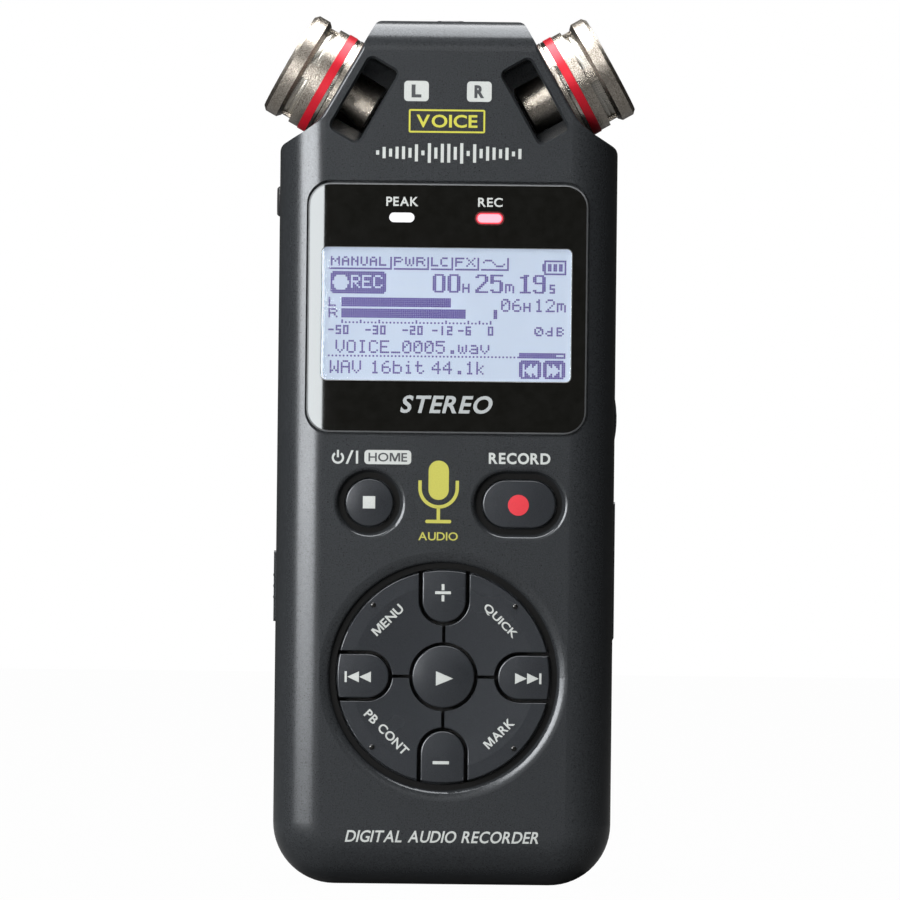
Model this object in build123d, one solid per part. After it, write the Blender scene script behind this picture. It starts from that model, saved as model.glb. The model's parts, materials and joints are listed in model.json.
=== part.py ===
"""Handheld voice recorder with two fixed stereo microphones, as an assembly of separate pieces.

Frame: +Z up along the length, +X to the right seen from the front, the front faces -Y.
The origin is at the middle of the bottom end, half way through the depth. Millimetres.
"""
import math
import os

from build123d import *

# ---------------------------------------------------------------- case
HALF_WIDTH = 27.5        # from the middle to a flat side
HALF_DEPTH = 13.0        # the front face is at -HALF_DEPTH, the back face at +HALF_DEPTH
TOP = 140.6              # top end of the neck
WALL = 1.8
BOTTOM_CORNER = 10.0     # corner radius seen from the front
FRONT_ROUND = 7.5        # rounding of the front edges
REAR_ROUND = 5.0         # rounding of the rear edges
TOP_FRONT_ROUND = 5.0
TOP_REAR_ROUND = 4.0
SHOULDER = (27.5, 119.97)     # where a side meets its shoulder
SADDLE = (21.45, 123.65)      # where a shoulder meets the sloped neck
NECK_CORNER = (11.84, 140.6)  # where the sloped neck meets the top
SHOULDER_ROUND = 1.6
SADDLE_ROUND = 10.0
NECK_ROUND = 1.5
EDGE_ROUND = 0.6         # break on the cut edges of the neck
SPLIT = 4.0              # the plane between front and rear case
SEAM = 0.2
TONGUE = 1.0             # thickness and depth of the rear case's tongue
CLEAR = 0.15             # between pieces that slide or drop in

# ---------------------------------------------------------------- microphones
TILT = 29.5              # the axis leans this far above horizontal
MIC_OFFSET = 103.73      # distance of the axis line from the origin, along the slope
MIC_Y = -3.8
POST_R = 4.15
POST_INNER = 72.8        # distances along the axis, from the line through the origin
SLOPE = 79.5
DISC_R = 8.7
RING_R = 8.75
SPOTFACE_R = 9.0
SPIGOT_R = 7.0
GROOVE_S = 80.25
TRIM_S = 80.4
COLOUR_S = 80.9
COLLAR_S = 82.35
GAP_S = 84.05
CAP_S = 85.63
CAP_END_S = 88.75
CAP_R = 8.875
PILLAR_R = 8.05
PILLAR_WIDTH = 2.7
MESH_R = 7.5
MESH_THICK = 0.2
CAP_MOUTH_R = 6.4
WINDOW = (6.0, 14.0, 1.3)    # along the axis, along the slope, corner radius
WINDOW_MIDDLE = (74.9, 104.2)
POCKET_DEPTH = 14.5
POCKET_WALL = 1.2

# ---------------------------------------------------------------- display
PANEL_MIDDLE = 93.8
OPENING = (46.0, 41.4, 4.0)
PANEL = (45.4, 40.5, 3.7)
LEDGE_OPENING = (42.0, 37.4, 2.0)
PANEL_THICK = 1.2
LCD = (41.4, 27.5)
LCD_MIDDLE = 92.8
LED_X = (-7.56, 6.7)
LED_Z = 108.5
LED_SIZE = (4.1, 1.57)

# ---------------------------------------------------------------- keys
KEY_TOP = -12.95
KEY_BACK = -9.7
FLANGE_FRONT = -10.5
PAD_BACK = -10.6         # inside of the wall where it is thickened round the keys
WELL_FLOOR = -12.0
STOP_KEY = (-12.3, 62.15)
STOP_R = 3.85
RECORD_KEY = (12.0, 62.15)
RECORD_SIZE = (11.85, 7.7)
WELL_MARGIN = 1.6        # from the key's edge to the well's mouth
WELL_BEVEL = 0.5
WELL_LIP = 0.7           # rounding of the well's mouth
HOLE_MARGIN = 0.25
FLANGE = 1.05
DIAL = (0.0, 34.0)
DIAL_R = 17.25           # outer edge of the key cluster
DIAL_HOLE_R = 17.6
DIAL_FLOOR_R = 18.4
DIAL_MOUTH_R = 19.0
DIAL_SOFT_R = 20.3
PLAY_R = 5.05
ARROW_HALF = 3.55        # half width of the plus, minus, back and forward keys
ARROW_INNER = 8.85       # distance from the dial's middle to their round inner ends
KEY_GAP = 0.55
CREASE_R = 14.9
PIP_R = 16.3

# ---------------------------------------------------------------- sides and top
JACK_Z = 111.15
JACK_Y = -1.7
JACK_R = 2.45
JACK_BORE_R = 1.8
JACK_PROUD = 0.5
HOLD_Z = 48.35
HOLD_Y = -2.9
HOLD_BASE = (11.5, 4.2)
HOLD_TRAVEL = 1.8
USB_Z = 76.1
USB_Y = -2.9
COVER_Z = (40.0, 62.6)
COVER_Y = -3.1
COVER_WIDTH = 5.0
COVER_THICK = 1.2
COVER_PROUD = 0.2
COVER_PIN_R = 0.3

# ---------------------------------------------------------------- inside
MAIN_BOARD_Y = (-5.2, -4.2)
KEY_BOARD_Y = (-7.8, -6.8)
MAT_Y = (-8.9, -8.3)
CELL_R = 7.25
CELL_LENGTH = 49.2
BUTTON_HEIGHT = 1.0
CONTACT_THICK = 0.3
SPRING_WIRE = 0.35
CELL_X = 7.45
CELL_Y = 4.6
TRAY_WALL = 1.0
BAY = (15.6, 6.6, 62.4)       # half width, lower end, upper end
CARD_Y = -3.4
CARD_Z = 51.3
BOSSES = [(20.5, 10.5), (21.5, 68.4), (22.3, 117.4)]
BOSS_R = 2.4
SCREW_R = 0.95
SCREW_HEAD_R = 1.75
DOOR = (17.5, 2.6, 64.0)      # half width, lower end, upper end
DOOR_INNER = 11.9
RAIL_THICK = 1.0              # the ledges beside the bay that hold the door's hooks
SPEAKER_Z = 99.0
SPEAKER_R = 9.5
TRIPOD_Z = 78.5
TRIPOD_BORE_R = 2.55          # tapping size of a 1/4 inch thread

HOLD_SLOT = 5.6 + 2 * HOLD_TRAVEL + 0.3
COVER_PIN = (HALF_WIDTH + COVER_PROUD - COVER_THICK / 2, COVER_Z[0] + COVER_THICK / 2)
LEDGE_Y = -HALF_DEPTH + 0.1 + PANEL_THICK
SCREW_SEAT = 6.0
TRIPOD_R = 4.0
TRIPOD_DEPTH = 5.5


# ================================================================ helpers
def prism(sketch, y_front, y_back):
    """A sketch drawn in X and Z, extruded through the depth from y_front to y_back."""
    plane = Plane(origin=(0, y_front, 0), x_dir=(1, 0, 0), z_dir=(0, -1, 0))
    return extrude(plane * sketch, amount=y_back - y_front, dir=(0, 1, 0))


def box(x, y, z):
    """A block between two values on each axis."""
    size = (x[1] - x[0], y[1] - y[0], z[1] - z[0])
    return Pos((x[0] + x[1]) / 2, (y[0] + y[1]) / 2, (z[0] + z[1]) / 2) * Box(*size)


def disc(centre, radius, y_front, y_back):
    """A cylinder along Y."""
    return prism(Pos(*centre) * Circle(radius), y_front, y_back)


def rod(centre, radius, x_start, x_end):
    """A cylinder along X, centred at (y, z)."""
    plane = Plane(origin=(x_start, centre[0], centre[1]), x_dir=(0, 1, 0), z_dir=(1, 0, 0))
    return extrude(plane * Circle(radius), amount=x_end - x_start, dir=(1, 0, 0))


def side_prism(sketch, x_start, x_end):
    """A sketch drawn in Y and Z, extruded along X."""
    plane = Plane(origin=(x_start, 0, 0), x_dir=(0, 1, 0), z_dir=(1, 0, 0))
    return extrude(plane * sketch, amount=x_end - x_start, dir=(1, 0, 0))


def rounded(size, radius, centre):
    """A rounded rectangle about a point."""
    return Pos(*centre) * RectangleRounded(size[0], size[1], radius)


def slot(size, centre):
    """A stadium about a point."""
    return Pos(*centre) * SlotOverall(size[0], size[1])


def taper_cut(sketch, y_mouth, y_floor, bevel):
    """A recess whose wall leans in by bevel between the mouth and the floor."""
    plane = Plane(origin=(0, y_mouth, 0), x_dir=(1, 0, 0), z_dir=(0, -1, 0))
    depth = y_floor - y_mouth
    return extrude(plane * sketch, amount=-depth, taper=math.degrees(math.atan2(bevel, depth)))


def both(shape):
    """A shape and its mirror image on the other side, as one."""
    return shape + mirror(shape, about=Plane.YZ)


def mic_stage(start, end, radius, bore=0.0):
    """A disc or ring on the left microphone's axis."""
    c, s = math.cos(math.radians(TILT)), math.sin(math.radians(TILT))
    plane = Plane(
        origin=(s * MIC_OFFSET - c * start, MIC_Y, c * MIC_OFFSET + s * start),
        x_dir=(s, 0, c),
        z_dir=(-c, 0, s),
    )
    sketch = Circle(radius)
    if bore:
        sketch -= Circle(bore)
    return extrude(plane * sketch, amount=end - start)


def slope_sketch(sketch, along, up):
    """Places a sketch in X and Z with its own X along the left microphone's axis, outwards."""
    c, s = math.cos(math.radians(TILT)), math.sin(math.radians(TILT))
    return Pos(s * up - c * along, c * up + s * along) * Rot(0, 0, 180 - TILT) * sketch


def write(shape, name):
    """Saves one piece."""
    export_step(shape, f"parts/{name}.step")


# ================================================================ case
def outline(inset):
    """The case seen from the front."""
    points = [
        (-HALF_WIDTH, -10),
        (HALF_WIDTH, -10),
        SHOULDER,
        SADDLE,
        NECK_CORNER,
        (-NECK_CORNER[0], TOP),
        (-SADDLE[0], SADDLE[1]),
        (-SHOULDER[0], SHOULDER[1]),
    ]
    radii = {2: SHOULDER_ROUND, 3: SADDLE_ROUND, 4: NECK_ROUND}
    radii.update({5: NECK_ROUND, 6: SADDLE_ROUND, 7: SHOULDER_ROUND})
    face = make_face(Polyline(*points, close=True))
    for index, radius in radii.items():
        corner = face.vertices().sort_by_distance((*points[index], 0))[0]
        face = fillet(corner, radius)
    return offset(face, -inset) if inset else face


def case_block(inset=0.0):
    """The whole case as one solid, shrunk by inset all round."""
    half = HALF_WIDTH - inset
    depth = HALF_DEPTH - inset
    block = box((-half, half), (-depth, depth), (inset, TOP + 20))
    ends = block.edges().filter_by(Axis.Y).group_by(Axis.Z)[0]
    block = fillet(ends, BOTTOM_CORNER - inset)
    front = block.faces().sort_by(Axis.Y)[0].edges()
    front = front.filter_by(lambda e: e.center().Z < TOP + 10)
    block = fillet(front, FRONT_ROUND - inset)
    rear = block.faces().sort_by(Axis.Y)[-1].edges()
    rear = rear.filter_by(lambda e: e.center().Z < TOP + 10)
    block = fillet(rear, REAR_ROUND - inset)
    core = prism(outline(inset), -depth, depth)
    if not inset:
        faces = core.faces().sort_by(Axis.Y)
        core = fillet(faces[0].edges() + faces[-1].edges(), EDGE_ROUND)
    block &= core
    side = Polyline(
        (-depth, -5), (depth, -5), (depth, TOP - inset), (-depth, TOP - inset), close=True
    )
    side = make_face(side)
    corners = side.vertices().sort_by(lambda v: v.Y)[-2:].sort_by(lambda v: v.X)
    side = fillet(corners[0], TOP_FRONT_ROUND - inset)
    corners = side.vertices().sort_by_distance((depth, TOP - inset, 0))
    side = fillet(corners[0], TOP_REAR_ROUND - inset)
    return block & side_prism(side, -HALF_WIDTH - 5, HALF_WIDTH + 5)


def dial_recess():
    """The dial's recess: a soft lip, a rounded rim and a flat floor."""
    lip_end = -HALF_DEPTH + 0.29
    rim_end = (DIAL_FLOOR_R + 0.15, WELL_FLOOR - 0.2)
    plane = Plane(origin=(DIAL[0], 0, DIAL[1]), x_dir=(1, 0, 0), z_dir=(0, 0, 1))
    edge = Polyline(
        rim_end,
        (DIAL_FLOOR_R + 0.08, WELL_FLOOR),
        (0, WELL_FLOOR),
        (0, -HALF_DEPTH - 1),
        (DIAL_SOFT_R, -HALF_DEPTH - 1),
        (DIAL_SOFT_R, -HALF_DEPTH),
    )
    lip = ThreePointArc(
        (DIAL_SOFT_R, -HALF_DEPTH),
        ((DIAL_SOFT_R + DIAL_MOUTH_R) / 2, -HALF_DEPTH + 0.075),
        (DIAL_MOUTH_R, lip_end),
    )
    rim = ThreePointArc((DIAL_MOUTH_R, lip_end), (DIAL_MOUTH_R - 0.28, lip_end + 0.21), rim_end)
    axis = Axis((DIAL[0], 0, DIAL[1]), (0, 1, 0))
    return revolve(plane * make_face(edge + lip + rim), axis=axis, revolution_arc=360)


def mic_window():
    """The opening that shows the left microphone's post, with a long ramp at its lower end."""
    along, up = WINDOW_MIDDLE
    length, height, radius = WINDOW
    mouth = slope_sketch(RectangleRounded(length, height, radius), along, up)
    hole = taper_cut(mouth, -HALF_DEPTH, -HALF_DEPTH + 0.5, 0.35)
    inner = slope_sketch(RectangleRounded(length - 0.7, height - 0.7, radius - 0.35), along, up)
    hole += prism(inner, -HALF_DEPTH, -HALF_DEPTH + POCKET_DEPTH)
    c, s = math.cos(math.radians(TILT)), math.sin(math.radians(TILT))
    low = up - height / 2
    plane = Plane(origin=(-c * (along - 6), 0, s * (along - 6)), x_dir=(s, 0, c), z_dir=(-c, 0, s))
    ramp = Polyline(
        (low - 1, -HALF_DEPTH + 0.5),
        (low + 0.35, -HALF_DEPTH + 0.5),
        (low + 2.2, -HALF_DEPTH + 5.0),
        (low + 2.2, HALF_DEPTH),
        (low - 1, HALF_DEPTH),
        close=True,
    )
    return hole - extrude(plane * make_face(ramp), amount=12)


def mic_pocket():
    """The walls behind a microphone window."""
    along, up = WINDOW_MIDDLE
    length, height, radius = WINDOW
    size = (length + 2 * POCKET_WALL, height + 2 * POCKET_WALL)
    walls = slope_sketch(RectangleRounded(*size, radius), along, up)
    return prism(walls, -HALF_DEPTH, -HALF_DEPTH + POCKET_DEPTH + POCKET_WALL)


def mic_seats():
    """What the microphones take from the case: a seat for each disc and a hole for each post."""
    seat = mic_stage(SLOPE - 0.02, CAP_END_S + 2, SPOTFACE_R)
    hole = mic_stage(POST_INNER, SLOPE + 1, POST_R + 0.05)
    return both(seat + hole)


def at_bosses(radius, y_front, y_back):
    """Cylinders along Y at every case screw."""
    places = [(side * x, z) for x, z in BOSSES for side in (-1, 1)]
    return Part() + [disc(place, radius, y_front, y_back) for place in places]


def stop_sketch(margin=0.0):
    """The stop and home key's outline."""
    return Pos(*STOP_KEY) * Circle(STOP_R + margin)


def record_sketch(margin=0.0):
    """The record key's outline."""
    return slot((RECORD_SIZE[0] + 2 * margin, RECORD_SIZE[1] + 2 * margin), RECORD_KEY)


def card_cover_sketch(margin=0.0):
    """The card cover seen from the side, in Y and Z."""
    middle = (COVER_Z[0] + COVER_Z[1]) / 2
    size = (COVER_WIDTH + 2 * margin, COVER_Z[1] - COVER_Z[0] + 2 * margin)
    return rounded(size, 0.55 + margin, (COVER_Y, middle))


def side_openings():
    """Holes and recesses in the sides and the top of the front case."""
    side = HALF_WIDTH
    jack = rod((JACK_Y, JACK_Z), JACK_R + 0.05, -side - 1, -side + 4)
    top_jack = Pos(0, JACK_Y, TOP - 2) * Cylinder(JACK_R + 0.05, 6)
    hold = rounded((2.6, HOLD_SLOT), 0.5, (HOLD_Y, HOLD_Z))
    hold = side_prism(hold, -side - 1, -side + 3)
    usb = side_prism(rounded((4.6, 10.2), 1.2, (USB_Y, USB_Z)), side - 0.5, side + 1)
    usb += side_prism(rounded((2.9, 7.8), 0.8, (USB_Y, USB_Z)), side - 4, side + 1)
    floor = side + COVER_PROUD - COVER_THICK - CLEAR
    cover = side_prism(card_cover_sketch(CLEAR), floor, side + 1)
    card = side_prism(rounded((1.3, 11.6), 0.3, (CARD_Y, CARD_Z)), side - 4, side + 1)
    pin = disc((COVER_PIN[0], COVER_PIN[1]), COVER_PIN_R, COVER_Y - 3.2, COVER_Y + 3.2)
    return jack + top_jack + hold + usb + cover + card + pin


def raised_edges():
    """Low bosses that stand proud of the front case's sides."""
    base = rounded((HOLD_BASE[1], HOLD_BASE[0]), 0.4, (HOLD_Y, HOLD_Z))
    hold = side_prism(base, -HALF_WIDTH - 0.35, -HALF_WIDTH + 1)
    crown = disc((HALF_WIDTH + 0.3 - 18.3, USB_Z), 18.3, USB_Y - 3.2, USB_Y + 3.2)
    usb = crown & side_prism(rounded((6.0, 11.6), 1.8, (USB_Y, USB_Z)), HALF_WIDTH - 1, HALF_WIDTH + 1)
    return hold + usb


def well_mouths(body):
    """Edges where the wells of the stop and record keys meet the face."""
    low, high = STOP_KEY[1] - 8, STOP_KEY[1] + 8
    edges = []
    for edge in body.edges():
        bounds = edge.bounding_box()
        on_face = max(abs(bounds.min.Y + HALF_DEPTH), abs(bounds.max.Y + HALF_DEPTH)) < 0.01
        if on_face and low < bounds.min.Z and bounds.max.Z < high:
            edges.append(edge)
    return edges


def front_case():
    """Front shell: face, both sides, the mic windows, wells and screw bosses."""
    outer = case_block()
    wall = outer - case_block(WALL)
    wall &= box((-40, 40), (-20, SPLIT - SEAM / 2), (-5, 160))
    inner_y = -HALF_DEPTH + WALL
    pads = prism(rounded((51.0, 45.6), 5.0, (0, PANEL_MIDDLE)), inner_y - 0.5, -10.4)
    pads += disc(DIAL, DIAL_SOFT_R + 0.4, inner_y - 0.5, PAD_BACK)
    pads += prism(stop_sketch(3.2), inner_y - 0.5, PAD_BACK)
    pads += prism(record_sketch(3.2), inner_y - 0.5, PAD_BACK)
    pads += at_bosses(BOSS_R, inner_y - 1.5, SPLIT - SEAM / 2)
    pads += both(mic_pocket())
    body = wall + (pads & outer) + raised_edges()
    width, height, radius = OPENING
    body -= prism(rounded((width, height), radius, (0, PANEL_MIDDLE)), -HALF_DEPTH - 1, LEDGE_Y)
    width, height, radius = LEDGE_OPENING
    body -= prism(rounded((width, height), radius, (0, PANEL_MIDDLE)), -HALF_DEPTH - 1, 0)
    body -= dial_recess()
    body -= disc(DIAL, DIAL_HOLE_R, -HALF_DEPTH, PAD_BACK + 1)
    for sketch in (stop_sketch, record_sketch):
        body -= taper_cut(sketch(WELL_MARGIN), -HALF_DEPTH, WELL_FLOOR, WELL_BEVEL)
        body -= prism(sketch(HOLE_MARGIN), -HALF_DEPTH, PAD_BACK + 1)
    body = fillet(well_mouths(body), WELL_LIP)
    body -= both(mic_window())
    body -= mic_seats()
    body -= side_openings()
    body -= at_bosses(SCREW_R - 0.1, inner_y + 2.2, SPLIT)
    return body


def rear_case():
    """Rear shell: back face, battery tray, speaker grille, screw sockets."""
    outer = case_block()
    wall = outer - case_block(WALL)
    wall &= box((-40, 40), (SPLIT + SEAM / 2, 20), (-5, 160))
    tongue = case_block(WALL + 0.1) - case_block(WALL + 0.1 + TONGUE)
    tongue &= box((-40, 40), (SPLIT - TONGUE, SPLIT + 1), (-5, 160))
    tongue -= at_bosses(BOSS_R + 0.15, SPLIT - TONGUE - 1, SPLIT + SEAM / 2)
    joint = case_block(WALL - 0.5) - case_block(WALL + 0.1 + TONGUE)
    joint &= box((-40, 40), (SPLIT + SEAM / 2, SPLIT + 1), (-5, 160))
    back = HALF_DEPTH - WALL
    half, low, high = BAY
    inner = at_bosses(BOSS_R + 0.6, SPLIT + SEAM / 2, back + 0.5)
    rails = box((-half - 2.2, half + 2.2), (back - RAIL_THICK, back + 0.5), (low - 2.4, high + 3))
    tray = box((-half - TRAY_WALL, half + TRAY_WALL), (CELL_Y, back + 0.5), (low - 1.2, high + 1.2))
    pipe = Cylinder(CELL_R + 0.35 + TRAY_WALL, high - low + 2.4)
    tray += both(Pos(CELL_X, CELL_Y, (low + high) / 2) * pipe)
    inner += rails + tray
    inner += disc((0, SPEAKER_Z), SPEAKER_R + 1.2, back - 2.5, back + 0.5)
    inner += disc((0, TRIPOD_Z), 5.2, back - 6.0, back + 0.5)
    body = wall + tongue + joint + (inner & outer)
    hollow = Pos(CELL_X, CELL_Y, (low + high) / 2) * Cylinder(CELL_R + 0.35, high - low)
    body -= both(hollow)
    body -= box((-half, half), (CELL_Y + 2.5, HALF_DEPTH + 1), (low, high))
    body -= box((-CELL_X, CELL_X), (CELL_Y, HALF_DEPTH), (low, high))
    rail = back - RAIL_THICK
    body -= box((-half - 1.3, half + 1.3), (rail - 1.2, rail), (low, high))
    width, door_low, door_high = DOOR
    recess = rounded((2 * (width + CLEAR), door_high + 20 + CLEAR), 1.5,
                     (0, (door_high + CLEAR - 20) / 2))
    body -= prism(recess, DOOR_INNER - CLEAR, HALF_DEPTH + 1)
    body -= at_bosses(SCREW_R + 0.1, SPLIT - 1, HALF_DEPTH)
    body -= at_bosses(SCREW_HEAD_R + 0.15, SCREW_SEAT, HALF_DEPTH + 1)
    body -= disc((0, SPEAKER_Z), SPEAKER_R + 0.1, back - 3, back)
    body -= grille_holes()
    body -= disc((0, TRIPOD_Z), TRIPOD_R, back - 5.0, HALF_DEPTH + 1)
    body -= mic_seats()
    return body


def grille_holes():
    """Rings of small holes in front of the speaker."""
    places = [(0, SPEAKER_Z)]
    for ring, count in ((2.6, 6), (5.2, 12), (7.8, 18)):
        for index in range(count):
            angle = math.tau * index / count
            places.append((ring * math.cos(angle), SPEAKER_Z + ring * math.sin(angle)))
    return Part() + [disc(place, 0.65, 9, HALF_DEPTH + 1) for place in places]


def battery_cover():
    """Sliding door over the cells, with grip ribs outside and four hooks inside."""
    width, low, high = DOOR
    plate = prism(rounded((2 * width, high - low), 1.4, (0, (high + low) / 2)), DOOR_INNER, 20)
    plate &= case_block()
    for index in range(5):
        rib = box((-6, 6), (HALF_DEPTH - 0.35, HALF_DEPTH + 1), (0, 0.8))
        plate -= Pos(0, 0, 52 + 1.8 * index) * rib
    hook_x = BAY[0] - CLEAR
    rail = HALF_DEPTH - WALL - RAIL_THICK
    for z in (13.0, 46.0):
        post = box((hook_x - 1.2, hook_x), (rail - 1.0, DOOR_INNER + 0.3), (z, z + 5))
        lip = box((hook_x - 1.2, hook_x + 0.8), (rail - 1.0, rail - CLEAR), (z, z + 5))
        plate += both(post + lip)
    return plate


# ================================================================ display
def display_window():
    """Glossy front panel."""
    width, height, radius = PANEL
    panel = prism(rounded((width, height), radius, (0, PANEL_MIDDLE)), -HALF_DEPTH + 0.1, LEDGE_Y)
    rim = panel.faces().sort_by(Axis.Y)[0].edges()
    return chamfer(rim, 0.25)


def lcd_glass():
    """Display cell of two glass plates."""
    width, height = LCD
    low, high = LCD_MIDDLE - height / 2, LCD_MIDDLE + height / 2
    lower = box((-width / 2, width / 2), (LEDGE_Y + 0.75, LEDGE_Y + 1.45), (low, high))
    upper = box((-width / 2, width / 2), (LEDGE_Y + 0.05, LEDGE_Y + 0.75), (low + 2.0, high))
    return lower + upper


def lcd_backlight():
    """Light box behind the display cell."""
    width, height = LCD
    low, high = LCD_MIDDLE - height / 2, LCD_MIDDLE + height / 2
    y = LEDGE_Y + 1.5
    block = box((-width / 2, width / 2), (y, y + 2.4), (low, high))
    return block - box((-width / 2 + 3, width / 2 - 3), (y + 1.6, y + 3), (low + 4, high - 4))


def lcd_ribbon():
    """Flat flexible cable from the display cell down to the main board."""
    low = LCD_MIDDLE - LCD[1] / 2
    front = LEDGE_Y + 0.9
    flat = box((-7, 7), (front, front + 0.2), (low - 1.6, low - 0.02))
    drop = box((-7, 7), (front, MAIN_BOARD_Y[0] - 0.02), (low - 1.6, low - 1.4))
    return flat + drop


def light_guides():
    """Clear prisms from the two lamps to the panel."""
    shapes = []
    for x in LED_X:
        prism_end = prism(slot(LED_SIZE, (x, LED_Z)), LEDGE_Y + 0.05, LEDGE_Y + 1.2)
        foot = prism(slot((3.2, 1.4), (x, LED_Z)), LEDGE_Y + 1.2, MAIN_BOARD_Y[0] - 1.0)
        shapes.append(prism_end + foot)
    return Compound(children=shapes)


# ================================================================ keys
def crowned(sketch, crown, top=KEY_TOP):
    """A key cap with a shallow spherical top about its own middle and a broken edge."""
    cap = prism(sketch, top, KEY_BACK)
    middle = cap.center()
    ball = Pos(middle.X, top + crown, middle.Z) * Sphere(crown)
    cap &= ball
    rim = cap.faces().sort_by(Axis.Y)[0].edges()
    return fillet(rim, 0.25)


def flanged(cap, sketch):
    """Adds the flange that stops a key from falling out of the case."""
    return cap + prism(sketch, FLANGE_FRONT, KEY_BACK)


def stop_home_key():
    """Round key."""
    return flanged(crowned(stop_sketch(), 24), stop_sketch(FLANGE))


def record_key():
    """Stadium-shaped key."""
    return flanged(crowned(record_sketch(), 60), record_sketch(FLANGE))


def arrow_sketch(half, inner, radius):
    """A key of the dial that points up: straight sides, round inner end, outer end on the rim."""
    middle = inner + half
    tongue = Pos(0, middle) * Circle(half)
    tongue += Pos(0, middle + radius / 2) * Rectangle(2 * half, radius)
    return tongue & Circle(radius)


def arrow_key(turn):
    """Plus, minus, back or forward key."""
    place = Pos(*DIAL) * Rot(0, 0, turn)
    cap = crowned(place * arrow_sketch(ARROW_HALF, ARROW_INNER, DIAL_R), 45)
    foot = place * arrow_sketch(ARROW_HALF - 0.1, ARROW_INNER + 0.1, DIAL_R + FLANGE - 0.1)
    return flanged(cap, foot)


def quadrant_sketch(radius, shrink=0.0):
    """The upper right quarter between two arrow keys and the play key."""
    gap = KEY_GAP + shrink
    ring = Circle(radius) - Circle(PLAY_R + gap)
    quarter = ring & Pos(20 + gap / 2, 20 + gap / 2) * Rectangle(40, 40)
    arrow = arrow_sketch(ARROW_HALF + gap, ARROW_INNER - gap, radius + 1)
    return quarter - arrow - Rot(0, 0, -90) * arrow


def quadrant_key(turn):
    """A quarter key: flat rim, dished inside the crease, and a raised pip for the finger."""
    place = Pos(*DIAL) * Rot(0, 0, turn)
    cap = prism(place * quadrant_sketch(DIAL_R), KEY_TOP + 0.1, KEY_BACK)
    dish = (CREASE_R**2 + 0.5**2) / (2 * 0.5)
    cap -= Pos(DIAL[0], KEY_TOP + 0.6 - dish, DIAL[1]) * Sphere(dish)
    cap = fillet(cap.faces().sort_by(Axis.Y)[0].edges(), 0.15)
    angle = math.radians(45 + turn)
    pip = (DIAL[0] + PIP_R * math.cos(angle), KEY_TOP + 0.1, DIAL[1] + PIP_R * math.sin(angle))
    cap += Pos(*pip) * Sphere(0.33) & disc(DIAL, DIAL_R, KEY_TOP - 0.05, KEY_BACK)
    foot = place * quadrant_sketch(DIAL_R + FLANGE - 0.1, 0.1)
    return flanged(cap, foot)


def play_key():
    """Round key in the middle of the dial."""
    return crowned(Pos(*DIAL) * Circle(PLAY_R), 30)


def key_centres():
    """Where a finger presses each key."""
    centres = [STOP_KEY, RECORD_KEY, DIAL]
    for turn in range(0, 360, 90):
        straight = math.radians(turn)
        slanted = math.radians(turn + 45)
        centres.append((DIAL[0] + 13.2 * math.cos(straight), DIAL[1] + 13.2 * math.sin(straight)))
        centres.append((DIAL[0] + 12.0 * math.cos(slanted), DIAL[1] + 12.0 * math.sin(slanted)))
    return centres


def key_board_sketch(margin=0.0):
    """Outline of the key board and the rubber mat on it."""
    return rounded((37.6 + 2 * margin, 55.6 + 2 * margin), 3.0, (0, 41.4))


def key_mat():
    """Rubber sheet with a stud under every key."""
    sheet = prism(key_board_sketch(), *MAT_Y)
    studs = [disc(centre, 1.5, MAT_Y[0] - 0.3, MAT_Y[0] + 0.1) for centre in key_centres()]
    return sheet + studs


def key_domes():
    """A snap dome on the key board under every key."""
    front = KEY_BOARD_Y[0]
    return Compound(children=[disc(c, 1.9, front - 0.35, front - 0.01) for c in key_centres()])


def key_board():
    """Circuit board behind the keys."""
    return prism(key_board_sketch(), *KEY_BOARD_Y)


# ================================================================ electronics
def main_board():
    """Circuit board over the whole length, notched for the screw bosses."""
    board = rounded((48.0, 102.0), 3.0, (0, 63.0))
    board += Pos(0, 125.0) * Rectangle(9.6, 23.0)
    return prism(board, *MAIN_BOARD_Y) - at_bosses(BOSS_R + 0.4, MAIN_BOARD_Y[0] - 1, MAIN_BOARD_Y[1] + 1)


def board_chips():
    """Processor, memory, codec and the two lamps soldered to the main board."""
    front, back = MAIN_BOARD_Y
    chips = [
        box((-9, 3), (back + 0.02, back + 1.2), (84, 96)),
        box((7, 15), (back + 0.02, back + 1.0), (86, 97)),
        box((-20, -13), (back + 0.02, back + 1.1), (86, 93)),
        box((8, 13), (back + 0.02, back + 1.6), (104, 109)),
    ]
    for x in LED_X:
        chips.append(box((x - 1.0, x + 1.0), (front - 0.8, front - 0.02), (LED_Z - 0.6, LED_Z + 0.6)))
    return Compound(children=chips)


def headphone_jack():
    """3.5 mm socket on the left: a block on the board and a barrel out through the side."""
    half = JACK_R
    block = box((-HALF_WIDTH + 2.0, -13.5), (JACK_Y - half, JACK_Y + half), (JACK_Z - 2.9, JACK_Z + 2.9))
    barrel = rod((JACK_Y, JACK_Z), JACK_R, -HALF_WIDTH - JACK_PROUD, -HALF_WIDTH + 3)
    barrel = chamfer(barrel.faces().sort_by(Axis.X)[0].edges(), 0.3)
    return block + barrel - rod((JACK_Y, JACK_Z), JACK_BORE_R, -HALF_WIDTH - 2, -14.5)


def mic_in_jack():
    """3.5 mm socket in the middle of the top end."""
    half = JACK_R
    block = box((-2.9, 2.9), (JACK_Y - half, JACK_Y + half), (TOP - 14.0, TOP - 2.0))
    barrel = Pos(0, JACK_Y, TOP - 1.35) * Cylinder(JACK_R, 3.3)
    barrel = chamfer(barrel.faces().sort_by(Axis.Z)[-1].edges(), 0.3)
    return block + barrel - Pos(0, JACK_Y, TOP - 6) * Cylinder(JACK_BORE_R, 14)


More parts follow.
